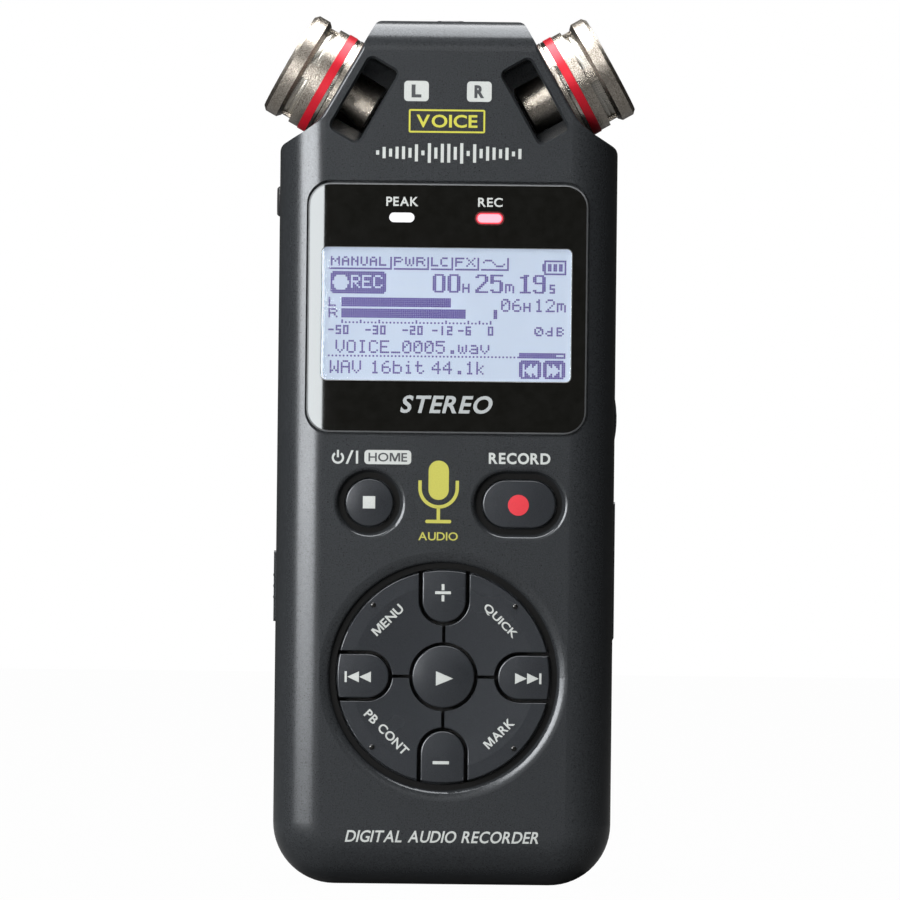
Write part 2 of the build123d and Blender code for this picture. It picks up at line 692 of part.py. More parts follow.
def usb_port():
    """Small metal USB socket."""
    outer = side_prism(rounded((2.6, 7.5), 0.7, (USB_Y, USB_Z)), HALF_WIDTH - 6.2, HALF_WIDTH - 0.7)
    inner = side_prism(rounded((2.0, 6.9), 0.5, (USB_Y, USB_Z)), HALF_WIDTH - 5.4, HALF_WIDTH)
    tongue = box((HALF_WIDTH - 5.5, HALF_WIDTH - 1.6), (USB_Y - 0.3, USB_Y + 0.3), (USB_Z - 2.2, USB_Z + 2.2))
    return outer - inner + tongue


def card_socket():
    """Metal cage that takes the memory card."""
    y = (MAIN_BOARD_Y[1] + 0.02, MAIN_BOARD_Y[1] + 1.5)
    cage = box((12.6, 25.2), y, (CARD_Z - 6.8, CARD_Z + 6.8))
    mouth = box((13.4, 26), (y[0] + 0.3, y[1] - 0.25), (CARD_Z - 5.6, CARD_Z + 5.6))
    return cage - mouth


def card_cover():
    """Flap over the card slot, with a knuckle round its pin and a nail groove at the far end."""
    face = HALF_WIDTH + COVER_PROUD
    flap = side_prism(card_cover_sketch(), face - COVER_THICK, face)
    low = COVER_Z[0] + COVER_THICK / 2
    flap -= box((0, 40), (-20, 20), (COVER_Z[0] - 1, low))
    knuckle = disc((COVER_PIN[0], COVER_PIN[1]), COVER_THICK / 2,
                   COVER_Y - COVER_WIDTH / 2, COVER_Y + COVER_WIDTH / 2)
    flap += knuckle
    flap -= disc((COVER_PIN[0], COVER_PIN[1]), COVER_PIN_R + 0.04, -20, 20)
    groove = disc((face + 0.35, COVER_Z[1] - 1.6), 0.7, COVER_Y - 1.6, COVER_Y + 1.6)
    return flap - groove


def card_cover_pin():
    """Steel pin of the card cover's hinge."""
    return disc((COVER_PIN[0], COVER_PIN[1]), COVER_PIN_R, COVER_Y - 3.2, COVER_Y + 3.2)


def hold_slider():
    """Ribbed thumb slider with a flange behind the wall."""
    outer = -HALF_WIDTH - 0.1
    knob = rounded((2.2, 5.6), 0.3, (HOLD_Y, HOLD_Z))
    shape = side_prism(knob, outer, -HALF_WIDTH + 2.3)
    for z in (HOLD_Z - 1.8, HOLD_Z, HOLD_Z + 1.8):
        ridge = disc((outer, z), 0.35, HOLD_Y - 1.05, HOLD_Y + 1.05)
        shape += ridge
    flange = rounded((3.8, 8.4), 0.5, (HOLD_Y, HOLD_Z))
    return shape + side_prism(flange, -HALF_WIDTH + WALL + 0.1, -HALF_WIDTH + WALL + 0.7)


def hold_switch():
    """Slide switch on the board behind the thumb slider."""
    return box((-24.4, -20.4), (MAIN_BOARD_Y[1] + 0.02, MAIN_BOARD_Y[1] + 2.6), (HOLD_Z - 4, HOLD_Z + 4))


def speaker():
    """Small round loudspeaker behind the grille."""
    back = HALF_DEPTH - WALL
    basket = disc((0, SPEAKER_Z), SPEAKER_R, back - 2.4, back - 0.05)
    basket -= disc((0, SPEAKER_Z), SPEAKER_R - 1.0, back - 0.8, back)
    return basket + disc((0, SPEAKER_Z), SPEAKER_R - 3.5, back - 4.2, back - 2.3)


def tripod_insert():
    """Threaded metal bush in the back, blind at its inner end."""
    bush = disc((0, TRIPOD_Z), TRIPOD_R, HALF_DEPTH - WALL - 5.0, HALF_DEPTH)
    bore = disc((0, TRIPOD_Z), TRIPOD_BORE_R, HALF_DEPTH - TRIPOD_DEPTH, HALF_DEPTH + 1)
    return bush - bore


def turned_over(shape):
    """The same thing for the left cell, which lies the other way up."""
    middle = (BAY[1] + BAY[2]) / 2
    return Pos(0, 0, middle) * Rot(0, 180, 0) * Pos(0, 0, -middle) * shape


def battery_cells():
    """Two AA cells side by side, the left one upside down."""
    top = BAY[2] - CONTACT_THICK - BUTTON_HEIGHT - 0.05
    can = fillet(Cylinder(CELL_R, CELL_LENGTH).edges(), 0.5)
    button = Pos(0, 0, (CELL_LENGTH + BUTTON_HEIGHT) / 2) * Cylinder(2.7, BUTTON_HEIGHT)
    cell = Pos(CELL_X, CELL_Y, top - CELL_LENGTH / 2) * (can + button)
    return Compound(children=[cell, turned_over(cell)])


def battery_springs():
    """Tapered coil under the flat end of each cell, its turns closed up."""
    foot = BAY[1] + CONTACT_THICK + 0.05 + SPRING_WIRE
    turns = [Pos(0, 0, 0.58 * turn) * Torus(4.6 - 0.3 * turn, SPRING_WIRE) for turn in range(8)]
    spring = Pos(CELL_X, CELL_Y, foot) * (Part() + turns)
    return Compound(children=[spring, turned_over(spring)])


def battery_contacts():
    """Plates at the ends of the bay: one bridges both cells, two are separate."""
    low, high = BAY[1], BAY[2]
    pads = Pos(CELL_X, CELL_Y) * Circle(6.3) + Pos(-CELL_X, CELL_Y) * Circle(6.3)
    bridge = pads + Pos(0, CELL_Y + 2.2) * Rectangle(2 * CELL_X, 4.0)
    lower = Pos(0, 0, low + 0.02) * extrude(bridge, amount=CONTACT_THICK)
    upper = Pos(0, 0, high - 0.02 - CONTACT_THICK) * extrude(pads, amount=CONTACT_THICK)
    return Compound(children=[lower] + upper.solids())


def case_screws():
    """Six screws from the back."""
    screws = []
    for x, z in BOSSES:
        for side in (-1, 1):
            place = (side * x, z)
            screw = disc(place, SCREW_HEAD_R, SCREW_SEAT, SCREW_SEAT + 1.4)
            screw += disc(place, SCREW_R - 0.1, SCREW_SEAT - 9.0, SCREW_SEAT + 0.1)
            screw -= cross_slot(place, SCREW_SEAT + 0.6, SCREW_SEAT + 2, 0.55, 2.0)
            screws.append(screw)
    return Compound(children=screws)


def cross_slot(place, y_front, y_back, width, length):
    """A cross recess for a driver."""
    across = Pos(*place) * (Rectangle(length, width) + Rectangle(width, length))
    return prism(across, y_front, y_back)


# ================================================================ microphones
def mic_housing():
    """Blasted metal body: post through the slope, disc against it, spigot for the rings."""
    shape = mic_stage(POST_INNER, SLOPE + 0.5, POST_R)
    shape = chamfer(shape.faces().sort_by(Axis.X)[-1].edges(), 0.3)
    shape += mic_stage(SLOPE, GROOVE_S, DISC_R)
    return shape + mic_stage(GROOVE_S, COLLAR_S + 0.6, SPIGOT_R)


def mic_trim_ring():
    """Thin bright ring under the coloured one."""
    return mic_stage(TRIM_S, COLOUR_S - 0.02, DISC_R - 0.05, SPIGOT_R + 0.02)


def mic_colour_ring():
    """Anodised ring that marks the channel."""
    return mic_stage(COLOUR_S, COLLAR_S - 0.02, RING_R, SPIGOT_R + 0.02)


def mic_cage():
    """Collar, four pillars and cap ring, turned from one piece."""
    collar = mic_stage(COLLAR_S, GAP_S, DISC_R - 0.1, SPIGOT_R + 0.02)
    cap = mic_stage(CAP_S, CAP_END_S, CAP_R)
    cap = chamfer(cap.faces().sort_by(Axis.X)[0].edges(), 0.6)
    cap -= mic_stage(CAP_S - 1, CAP_END_S - 1.1, MESH_R + 0.05)
    cap -= mic_stage(CAP_END_S - 2, CAP_END_S + 1, CAP_MOUTH_R)
    ring = mic_stage(GAP_S - 0.3, CAP_S + 0.3, PILLAR_R, MESH_R + 0.05)
    c, s = math.cos(math.radians(TILT)), math.sin(math.radians(TILT))
    plane = Plane(
        origin=(s * MIC_OFFSET - c * (GAP_S - 1), MIC_Y, c * MIC_OFFSET + s * (GAP_S - 1)),
        x_dir=(s, 0, c),
        z_dir=(-c, 0, s),
    )
    bars = Rectangle(PILLAR_WIDTH, 30) + Rectangle(30, PILLAR_WIDTH)
    pillars = ring & extrude(plane * bars, amount=CAP_S - GAP_S + 2)
    return collar + pillars + cap


def mic_mesh():
    """Basket of fine mesh: a wall behind the pillars and a disc in the cap's mouth."""
    end = CAP_END_S - 1.12
    wall = mic_stage(GAP_S + 0.02, end, MESH_R, MESH_R - MESH_THICK)
    return wall + mic_stage(end - MESH_THICK, end, MESH_R)


def mic_capsule():
    """Electret capsule facing outwards."""
    return mic_stage(COLLAR_S + 0.65, CAP_END_S - 2.4, 4.85)


def mic_gasket():
    """Rubber ring that holds the capsule in the collar."""
    return mic_stage(COLLAR_S + 0.65, GAP_S - 0.1, SPIGOT_R, 4.87)


def microphones():
    """Both microphones, the right one a mirror image of the left."""
    makers = [mic_housing, mic_trim_ring, mic_colour_ring, mic_cage, mic_mesh, mic_capsule, mic_gasket]
    for maker in makers:
        left = maker()
        write(left, f"left_{maker.__name__}")
        write(mirror(left, about=Plane.YZ), f"right_{maker.__name__}")


# ================================================================ build
def main():
    """Writes every piece."""
    os.makedirs("parts", exist_ok=True)
    makers = [
        front_case, rear_case, battery_cover, display_window, lcd_glass, lcd_backlight,
        lcd_ribbon, light_guides, key_mat, key_domes, key_board, main_board, board_chips,
        headphone_jack, mic_in_jack, usb_port, card_socket, card_cover, card_cover_pin,
        hold_slider, hold_switch, speaker, tripod_insert, battery_cells, battery_springs,
        battery_contacts, case_screws, stop_home_key, record_key, play_key,
    ]
    for maker in makers:
        write(maker(), maker.__name__)
    for index, name in enumerate(("plus", "back", "minus", "forward")):
        write(arrow_key(90 * index), f"{name}_key")
    for index, name in enumerate(("quick", "menu", "playback_control", "mark")):
        write(quadrant_key(90 * index), f"{name}_key")
    microphones()


main()
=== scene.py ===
"""Handheld voice recorder: materials, print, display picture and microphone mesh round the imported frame."""
import json
import math

import bmesh
import bpy
from mathutils import Matrix, Vector
from mathutils.bvhtree import BVHTree


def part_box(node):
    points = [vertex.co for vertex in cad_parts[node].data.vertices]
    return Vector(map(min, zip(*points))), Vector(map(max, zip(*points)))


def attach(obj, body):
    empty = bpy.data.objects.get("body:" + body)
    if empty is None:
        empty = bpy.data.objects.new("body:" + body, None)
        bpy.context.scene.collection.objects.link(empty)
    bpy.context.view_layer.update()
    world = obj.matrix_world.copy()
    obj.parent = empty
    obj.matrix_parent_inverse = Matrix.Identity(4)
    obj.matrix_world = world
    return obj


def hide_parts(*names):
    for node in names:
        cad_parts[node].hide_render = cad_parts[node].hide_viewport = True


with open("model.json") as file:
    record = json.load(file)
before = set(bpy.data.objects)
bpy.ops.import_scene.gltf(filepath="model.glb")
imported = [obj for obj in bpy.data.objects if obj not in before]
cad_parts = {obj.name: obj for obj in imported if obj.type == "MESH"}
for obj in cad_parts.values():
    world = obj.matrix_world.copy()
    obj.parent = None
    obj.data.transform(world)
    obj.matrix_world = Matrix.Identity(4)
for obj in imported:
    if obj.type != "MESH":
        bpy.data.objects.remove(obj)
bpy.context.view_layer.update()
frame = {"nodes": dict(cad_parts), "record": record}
NODES = frame["nodes"]
BODY = "body"
MM = 0.001

# ---------------------------------------------------------------- places, in millimetres
FACE_Y = -13.0
DIAL = (0.0, 34.0)
PANEL_MIDDLE = 93.8
PANEL_SIZE = (45.4, 40.5)
PANEL_RADIUS = 3.7
PANEL_BEVEL = 0.25
LAMP_WORDS_Z = 111.1
LED_X = (-7.56, 6.7)
LED_Z = 108.5
LCD_LEFT, LCD_RIGHT = -20.4, 20.1
LCD_LOW, LCD_HIGH = 82.05, 103.6
LCD_MARGIN_LEFT, LCD_MARGIN_TOP = 1.08, 1.5
DOT_PITCH = 0.3015
DOT_GAP = 0.02
TAG = (-0.4, 124.2)
BADGE_Z = 129.05
KEY_WORDS_Z = 69.55
HOME_X = -9.4
EMBLEM_X = -1.1
DIAL_WORDS_R = 12.9
DIAL_PIP_R = 16.3
WELL_FLOOR = -12.0
DIAL_FLOOR_R = 18.6
KEY_WELLS_LOW, KEY_WELLS_HIGH = 55.0, 70.0
KEY_WELLS_X = 20.0
TILT = math.radians(29.5)
MIC_OFFSET = 103.73
MIC_Y = -3.8

# along a microphone's own axis, and about it
BASKET_START, BASKET_END = 84.08, 85.62
BASKET_R = 7.4
BASKET_STRANDS = 128
DISC_PLACE = 87.45
DISC_R = 7.3
DISC_PITCH = 0.36
WIRE_WIDTH, WIRE_THICK = 0.13, 0.07
WALL_WEAVE, DISC_WEAVE = 0.045, 0.06
LINER_PROFILE = ((82.96, 7.2), (87.2, 7.2), (87.25, 7.0), (87.25, 5.2), (87.3, 3.0), (87.3, 0.01))


# ================================================================ materials
BROAD_GRAIN = 14.0        # size of the slow change in roughness, in millimetres


def shader(name, colour, roughness, metallic=0.0, specular=0.5):
    """A Principled material with plain values, its nodes ready for more."""
    mat = bpy.data.materials.new(name)
    mat.use_nodes = True
    bsdf = mat.node_tree.nodes["Principled BSDF"]
    bsdf.inputs["Base Color"].default_value = (*colour, 1)
    bsdf.inputs["Roughness"].default_value = roughness
    bsdf.inputs["Metallic"].default_value = metallic
    bsdf.inputs["Specular IOR Level"].default_value = specular
    return mat, bsdf


def noise(mat, size, detail=2.0):
    """A noise value whose features are about size millimetres across."""
    nodes, links = mat.node_tree.nodes, mat.node_tree.links
    place = nodes.new("ShaderNodeTexCoord")
    tex = nodes.new("ShaderNodeTexNoise")
    tex.inputs["Scale"].default_value = 1 / (size * MM)
    tex.inputs["Detail"].default_value = detail
    links.new(place.outputs["Object"], tex.inputs["Vector"])
    return tex.outputs["Fac"]


def spread(mat, value, low, high):
    """Maps a noise value, which is mostly between 0.3 and 0.7, onto a range."""
    node = mat.node_tree.nodes.new("ShaderNodeMapRange")
    node.inputs["From Min"].default_value = 0.3
    node.inputs["From Max"].default_value = 0.7
    node.inputs["To Min"].default_value = low
    node.inputs["To Max"].default_value = high
    mat.node_tree.links.new(value, node.inputs["Value"])
    return node.outputs["Result"]


def tint(mat, bsdf, value, dark, light):
    """Base colour between two colours by a noise value."""
    node = mat.node_tree.nodes.new("ShaderNodeMix")
    node.data_type = "RGBA"
    node.inputs["A"].default_value = (*dark, 1)
    node.inputs["B"].default_value = (*light, 1)
    mat.node_tree.links.new(value, node.inputs["Factor"])
    mat.node_tree.links.new(node.outputs["Result"], bsdf.inputs["Base Color"])


def bump(mat, bsdf, value, height):
    """Bump by a noise value, height in millimetres."""
    node = mat.node_tree.nodes.new("ShaderNodeBump")
    node.inputs["Distance"].default_value = height * MM
    node.inputs["Strength"].default_value = 1.0
    mat.node_tree.links.new(value, node.inputs["Height"])
    mat.node_tree.links.new(node.outputs["Normal"], bsdf.inputs["Normal"])


def grained(name, dark, light, grain, roughness, height, metallic=0.0, specular=0.5):
    """A surface with fine grain in colour, roughness and bump."""
    mat, bsdf = shader(name, light, roughness[0], metallic, specular)
    fine = noise(mat, grain)
    tint(mat, bsdf, spread(mat, fine, 0, 1), dark, light)
    broad = noise(mat, BROAD_GRAIN, 3.0)
    rough = spread(mat, broad, roughness[0], roughness[1])
    mat.node_tree.links.new(rough, bsdf.inputs["Roughness"])
    if height:
        bump(mat, bsdf, fine, height)
    return mat


def case_paint():
    """Slate-grey metallic paint with fine fleck."""
    return grained("case_paint", (0.0175, 0.0192, 0.021), (0.039, 0.0425, 0.0465), 0.22, (0.23, 0.26), 0.006,
                   metallic=0.5)


def rear_plastic():
    """Spark-eroded black plastic."""
    return grained("rear_plastic", (0.02, 0.02, 0.022), (0.034, 0.035, 0.038), 0.3, (0.5, 0.6), 0.012)


def key_plastic():
    """Satin dark grey keys."""
    return grained("key_plastic", (0.018, 0.02, 0.023), (0.028, 0.031, 0.036), 0.15, (0.24, 0.28), 0.003,
                   metallic=0.4)


def nickel():
    """Blasted nickel: coarse sparkle, slightly warm."""
    return grained("nickel", (0.13, 0.105, 0.08), (0.68, 0.63, 0.56), 0.16, (0.24, 0.3), 0.045, metallic=1.0)


def turned_nickel():
    """Finer blasted nickel of the trim rings."""
    return grained("turned_nickel", (0.35, 0.31, 0.27), (0.8, 0.76, 0.7), 0.22, (0.14, 0.2), 0.02,
                   metallic=1.0)


def red_anodised():
    """Red ring with fine turning marks."""
    return grained("red_anodised", (0.34, 0.004, 0.012), (0.48, 0.008, 0.022), 0.1, (0.3, 0.36), 0.002,
                   metallic=0.45)


def wire():
    """Bright wire of the mesh."""
    return grained("wire", (0.42, 0.4, 0.36), (0.72, 0.69, 0.63), 0.1, (0.25, 0.35), 0.002, metallic=1.0)


def black_gloss():
    """Gloss black acrylic of the panel, with faint haze."""
    return grained("black_gloss", (0.0035, 0.0035, 0.003), (0.005, 0.005, 0.0045), 1.5, (0.004, 0.012), 0.0)


def dark_foam():
    """Dark acoustic foam and other inner black."""
    return grained("dark_foam", (0.006, 0.006, 0.006), (0.02, 0.019, 0.018), 0.25, (0.8, 0.95), 0.05)


def rubber():
    """Dark silicone."""
    return grained("rubber", (0.012, 0.012, 0.012), (0.03, 0.03, 0.03), 0.4, (0.6, 0.75), 0.01)


def well_shade_black():
    """Near-black round the keys: the black key mat showing there, deepened with painted shade."""
    return grained("well_shade_black", (0.002, 0.002, 0.002), (0.005, 0.005, 0.005), 0.3, (0.6, 0.7), 0.0,
                   specular=0.08)


def steel():
    """Plated steel with faint drawing marks."""
    return grained("steel", (0.45, 0.45, 0.46), (0.62, 0.62, 0.63), 0.2, (0.25, 0.4), 0.002, metallic=1.0)


def brass():
    """Plated brass bush."""
    return grained("brass", (0.55, 0.42, 0.18), (0.7, 0.56, 0.28), 0.2, (0.25, 0.35), 0.003, metallic=1.0)


def board_green():
    """Solder mask."""
    return grained("board_green", (0.01, 0.09, 0.04), (0.02, 0.15, 0.07), 2.0, (0.3, 0.4), 0.004)


def cell_wrap():
    """Printed can of a cell."""
    return grained("cell_wrap", (0.4, 0.36, 0.3), (0.55, 0.5, 0.42), 3.0, (0.25, 0.35), 0.002, metallic=0.7)


def moulded(name, colour, roughness):
    """A plain moulded part with light grain."""
    dark = tuple(0.8 * c for c in colour)
    return grained(name, dark, colour, 0.5, (roughness, roughness + 0.1), 0.004)


def ink(name, colour):
    """Screen-printed ink, thin and slightly uneven."""
    dark = tuple(0.9 * c for c in colour)
    return grained(name, dark, colour, 0.25, (0.45, 0.55), 0.001, specular=0.3)


def glowing(name, colour, light, strength):
    """A lit surface, a little uneven."""
    mat, bsdf = shader(name, colour, 0.3)
    tint(mat, bsdf, spread(mat, noise(mat, 9.0), 0, 1), tuple(0.94 * c for c in colour), colour)
    bsdf.inputs["Emission Color"].default_value = (*light, 1)
    bsdf.inputs["Emission Strength"].default_value = strength
    return mat


def clear_acrylic():
    """Clear pane over the display."""
    mat, bsdf = shader("clear_acrylic", (1, 1, 1), 0.0)
    bsdf.inputs["Transmission Weight"].default_value = 1.0
    bsdf.inputs["IOR"].default_value = 1.49
    rough = spread(mat, noise(mat, 6.0), 0.0, 0.02)
    mat.node_tree.links.new(rough, bsdf.inputs["Roughness"])
    return mat


# ================================================================ geometry helpers
FACES = {
    "front": (Vector((1, 0, 0)), Vector((0, 0, 1)), Vector((0, -1, 0))),
    "back": (Vector((-1, 0, 0)), Vector((0, 0, 1)), Vector((0, 1, 0))),
    "left": (Vector((0, -1, 0)), Vector((0, 0, 1)), Vector((-1, 0, 0))),
    "right": (Vector((0, 1, 0)), Vector((0, 0, 1)), Vector((1, 0, 0))),
    "top": (Vector((1, 0, 0)), Vector((0, 1, 0)), Vector((0, 0, 1))),
}


def mesh_from(bm, name):
    """The finished mesh of a bmesh, which is freed."""
    mesh = bpy.data.meshes.new(name)
    bm.to_mesh(mesh)
    bm.free()
    return mesh


def bridge(bm, first, second):
    """A band of four-sided faces between two closed loops of vertices."""
    for i in range(len(first)):
        j = (i + 1) % len(first)
        bm.faces.new((first[i], first[j], second[j], second[i]))


def new_piece(name, mesh, material, body=BODY):
    """A mesh as a piece of the object."""
    piece = bpy.data.objects.new(name, mesh)
    bpy.context.scene.collection.objects.link(piece)
    piece.data.materials.clear()
    piece.data.materials.append(material)
    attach(piece, body)
    return piece


TREES = {}
RAY_START = 0.2           # distance from the middle at which a search for the surface starts, in metres


def surface_tree(node):
    """A search tree of a CAD node's faces, made once."""
    if node not in TREES:
        mesh = NODES[node].data
        corners = [v.co for v in mesh.vertices]
        TREES[node] = BVHTree.FromPolygons(corners, [p.vertices for p in mesh.polygons])
    return TREES[node]


def refine(mesh, longest):
    """Splits a flat mesh until no edge is longer than longest millimetres, so that it can follow a curve."""
    bm = bmesh.new()
    bm.from_mesh(mesh)
    for _ in range(5):
        bmesh.ops.triangulate(bm, faces=[f for f in bm.faces if len(f.verts) > 3])
        long_edges = [e for e in bm.edges if e.calc_length() > longest]
        if not long_edges:
            break
        bmesh.ops.subdivide_edges(bm, edges=long_edges, cuts=1)
    bm.to_mesh(mesh)
    bm.free()


def surface_point(node, place):
    """The point of a CAD node's front over a place in X and Z, in millimetres."""
    start = Vector((place[0] * MM, -RAY_START, place[1] * MM))
    return surface_tree(node).ray_cast(start, Vector((0, 1, 0)))[0]


def lay_on(mesh, node, face, lift):
    """Moves flat print down onto a CAD node, each point along the face's normal."""
    tree = surface_tree(node)
    u, v, n = FACES[face]
    refine(mesh, 0.7)
    for vertex in mesh.vertices:
        x, y, z = vertex.co
        start = u * x * MM + v * y * MM + n * RAY_START
        hit = tree.ray_cast(start, -n)[0]
        base = hit if hit else start - n * (RAY_START + FACE_Y * MM)
        vertex.co = base + n * (lift + z) * MM


def extruded(outlines, thick):
    """A thin plate from flat closed outlines in millimetres."""
    bm = bmesh.new()
    for outline in outlines:
        low = [bm.verts.new((x, y, 0)) for x, y in outline]
        high = [bm.verts.new((x, y, thick)) for x, y in outline]
        bm.faces.new(high)
        bm.faces.new(low[::-1])
        bridge(bm, low, high)
    bmesh.ops.recalc_face_normals(bm, faces=bm.faces)
    return mesh_from(bm, "outline")


CAP = 0.7                 # cap height of the built-in font at size 1, as are the two gaps
LETTER_GAP = 0.085
WORD_GAP = 0.34


def letter_m():
    """A plain bold M, as the font's own is too narrow inside to read when small."""
    wide, stem, shoulder, inner, foot = 0.76, 0.13, 0.19, 0.5, 0.065
    middle = wide / 2
    left = [(stem, 0), (0, 0), (0, CAP), (shoulder, CAP), (middle, 0.22)]
    right = [(wide - shoulder, CAP), (wide, CAP), (wide, 0), (wide - stem, 0), (wide - stem, inner)]
    return extruded([left + right + [(middle + foot, 0), (middle - foot, 0), (stem, inner)]], 10)


def letter_mesh(letter, bold):
    """One letter of the built-in font as a thin mesh."""
    curve = bpy.data.curves.new("letter", "FONT")
    curve.body = letter
    curve.offset = bold
    curve.extrude = 0.005
    curve.resolution_u = 4
    holder = bpy.data.objects.new("letter", curve)
    bpy.context.scene.collection.objects.link(holder)
    bpy.context.view_layer.update()
    mesh = bpy.data.meshes.new_from_object(holder)
    bpy.data.objects.remove(holder)
    bpy.data.curves.remove(curve)
    return mesh


def text_mesh(words, bold, slant):
    """Letters set side by side with even gaps, leaning by slant, as one thin mesh."""
    bm = bmesh.new()
    cursor = 0.0
    for letter in words:
        if letter == " ":
            cursor += WORD_GAP
            continue
        if letter == "M":
            mesh = letter_m()
            mesh.transform(Matrix.Diagonal((1, 1, 0.001, 1)))
        else:
            mesh = letter_mesh(letter, bold)
        xs = [v.co.x for v in mesh.vertices]
        mesh.transform(Matrix.Translation((cursor - min(xs), 0, 0)))
        cursor += max(xs) - min(xs) + LETTER_GAP
        bm.from_mesh(mesh)
        bpy.data.meshes.remove(mesh)
    for vertex in bm.verts:
        vertex.co.x += slant * vertex.co.y
    return mesh_from(bm, "words")


def fit(mesh, centre, size, thick, turn=0.0):
    """Scales flat print to a size, turns it and puts it at a centre, in millimetres."""
    xs = [v.co.x for v in mesh.vertices]
    ys = [v.co.y for v in mesh.vertices]
    zs = [v.co.z for v in mesh.vertices]
    wide, tall, deep = max(xs) - min(xs), max(ys) - min(ys), max(zs) - min(zs)
    middle = Vector(((max(xs) + min(xs)) / 2, (max(ys) + min(ys)) / 2, min(zs)))
    scale = Matrix.Diagonal((size[0] / wide, size[1] / tall, thick / deep, 1))
    spin = Matrix.Rotation(math.radians(turn), 4, "Z")
    mesh.transform(Matrix.Translation((*centre, 0)) @ spin @ scale @ Matrix.Translation(-middle))
    return mesh


THICK = 0.012             # of all print, in millimetres


def lettering(name, words, centre, size, material, node="front_case", face="front", turn=0.0, bold=0.015,
              slant=0.0, lift=0.004, body=BODY, slot="front_paint"):
    """Printed words on a CAD node, size being their whole width and height."""
    mesh = fit(text_mesh(words, bold, slant), centre, size, THICK, turn)
    lay_on(mesh, node, face, lift)
    return new_piece(name, mesh, material, body)


def shapes(name, outlines, material, node="front_case", face="front", lift=0.004, body=BODY,
           slot="front_paint", turn=0.0, pivot=(0, 0)):
    """Printed shapes on a CAD node."""
    mesh = extruded(outlines, THICK)
    if turn:
        about = Matrix.Translation((*pivot, 0))
        mesh.transform(about @ Matrix.Rotation(math.radians(turn), 4, "Z") @ about.inverted())
    lay_on(mesh, node, face, lift)
    return new_piece(name, mesh, material, body)


def rounded(centre, size, radius, steps=6):
    """Outline of a rounded rectangle."""
    points = []
    for index in range(4):
        sx = 1 if index in (0, 3) else -1
        sy = 1 if index in (0, 1) else -1
        cx = centre[0] + sx * (size[0] / 2 - radius)
        cy = centre[1] + sy * (size[1] / 2 - radius)
        for step in range(steps + 1):
            angle = math.radians(90 * index + 90 * step / steps)
            points.append((cx + radius * math.cos(angle), cy + radius * math.sin(angle)))
    return points


def bar(centre, width, height):
    """Outline of a rectangle."""
    x, y = centre
    w, h = width / 2, height / 2
    return [(x - w, y - h), (x + w, y - h), (x + w, y + h), (x - w, y + h)]


def circle(centre, radius, steps=32):
    """Outline of a circle."""
    angles = [math.tau * i / steps for i in range(steps)]
    return [(centre[0] + radius * math.cos(a), centre[1] + radius * math.sin(a)) for a in angles]


def arc_band(centre, inner, outer, start, end, steps=24):
    """Outline of part of a ring, angles in degrees."""
    angles = [math.radians(start + (end - start) * i / steps) for i in range(steps + 1)]
    out = [(centre[0] + outer * math.cos(a), centre[1] + outer * math.sin(a)) for a in angles]
    back = [(centre[0] + inner * math.cos(a), centre[1] + inner * math.sin(a)) for a in angles[::-1]]
    return out + back


def frame_band(centre, size, radius, line):
    """Outlines of a thin rounded frame, as two halves."""
    outer = rounded(centre, size, radius)
    inner = rounded(centre, (size[0] - 2 * line, size[1] - 2 * line), max(radius - line, 0.01))
    half = len(outer) // 2
    halves = []
    for start in (0, half):
        picks = [(start + i) % len(outer) for i in range(half + 1)]
        halves.append([outer[i] for i in picks] + [inner[i] for i in picks[::-1]])
    return halves


def frame_plate(name, outer, hole, y_front, y_back, bevel, material):
    """A plate in the face's plane with a hole, its front edges bevelled."""
    bm = bmesh.new()

    def ring(centre, size, radius, shrink, y):
        wide = (size[0] - 2 * shrink, size[1] - 2 * shrink)
        points = rounded(centre, wide, max(radius - shrink, 0.05), 8)
        return [bm.verts.new((x * MM, y * MM, z * MM)) for x, z in points]

    loops = [ring(*outer, 0, y_back), ring(*outer, 0, y_front + bevel), ring(*outer, bevel, y_front)]
    if hole:
        loops += [ring(*hole, -bevel * 0.4, y_front), ring(*hole, 0, y_front + bevel * 0.4)]
        loops += [ring(*hole, 0, y_back)]
        pairs = list(zip(loops, loops[1:] + loops[:1]))
    else:
        pairs = list(zip(loops, loops[1:]))
        bm.faces.new(loops[0])
        bm.faces.new(loops[-1])
    for a, b in pairs:
        bridge(bm, a, b)
    bmesh.ops.recalc_face_normals(bm, faces=bm.faces)
    return new_piece(name, mesh_from(bm, name), material)


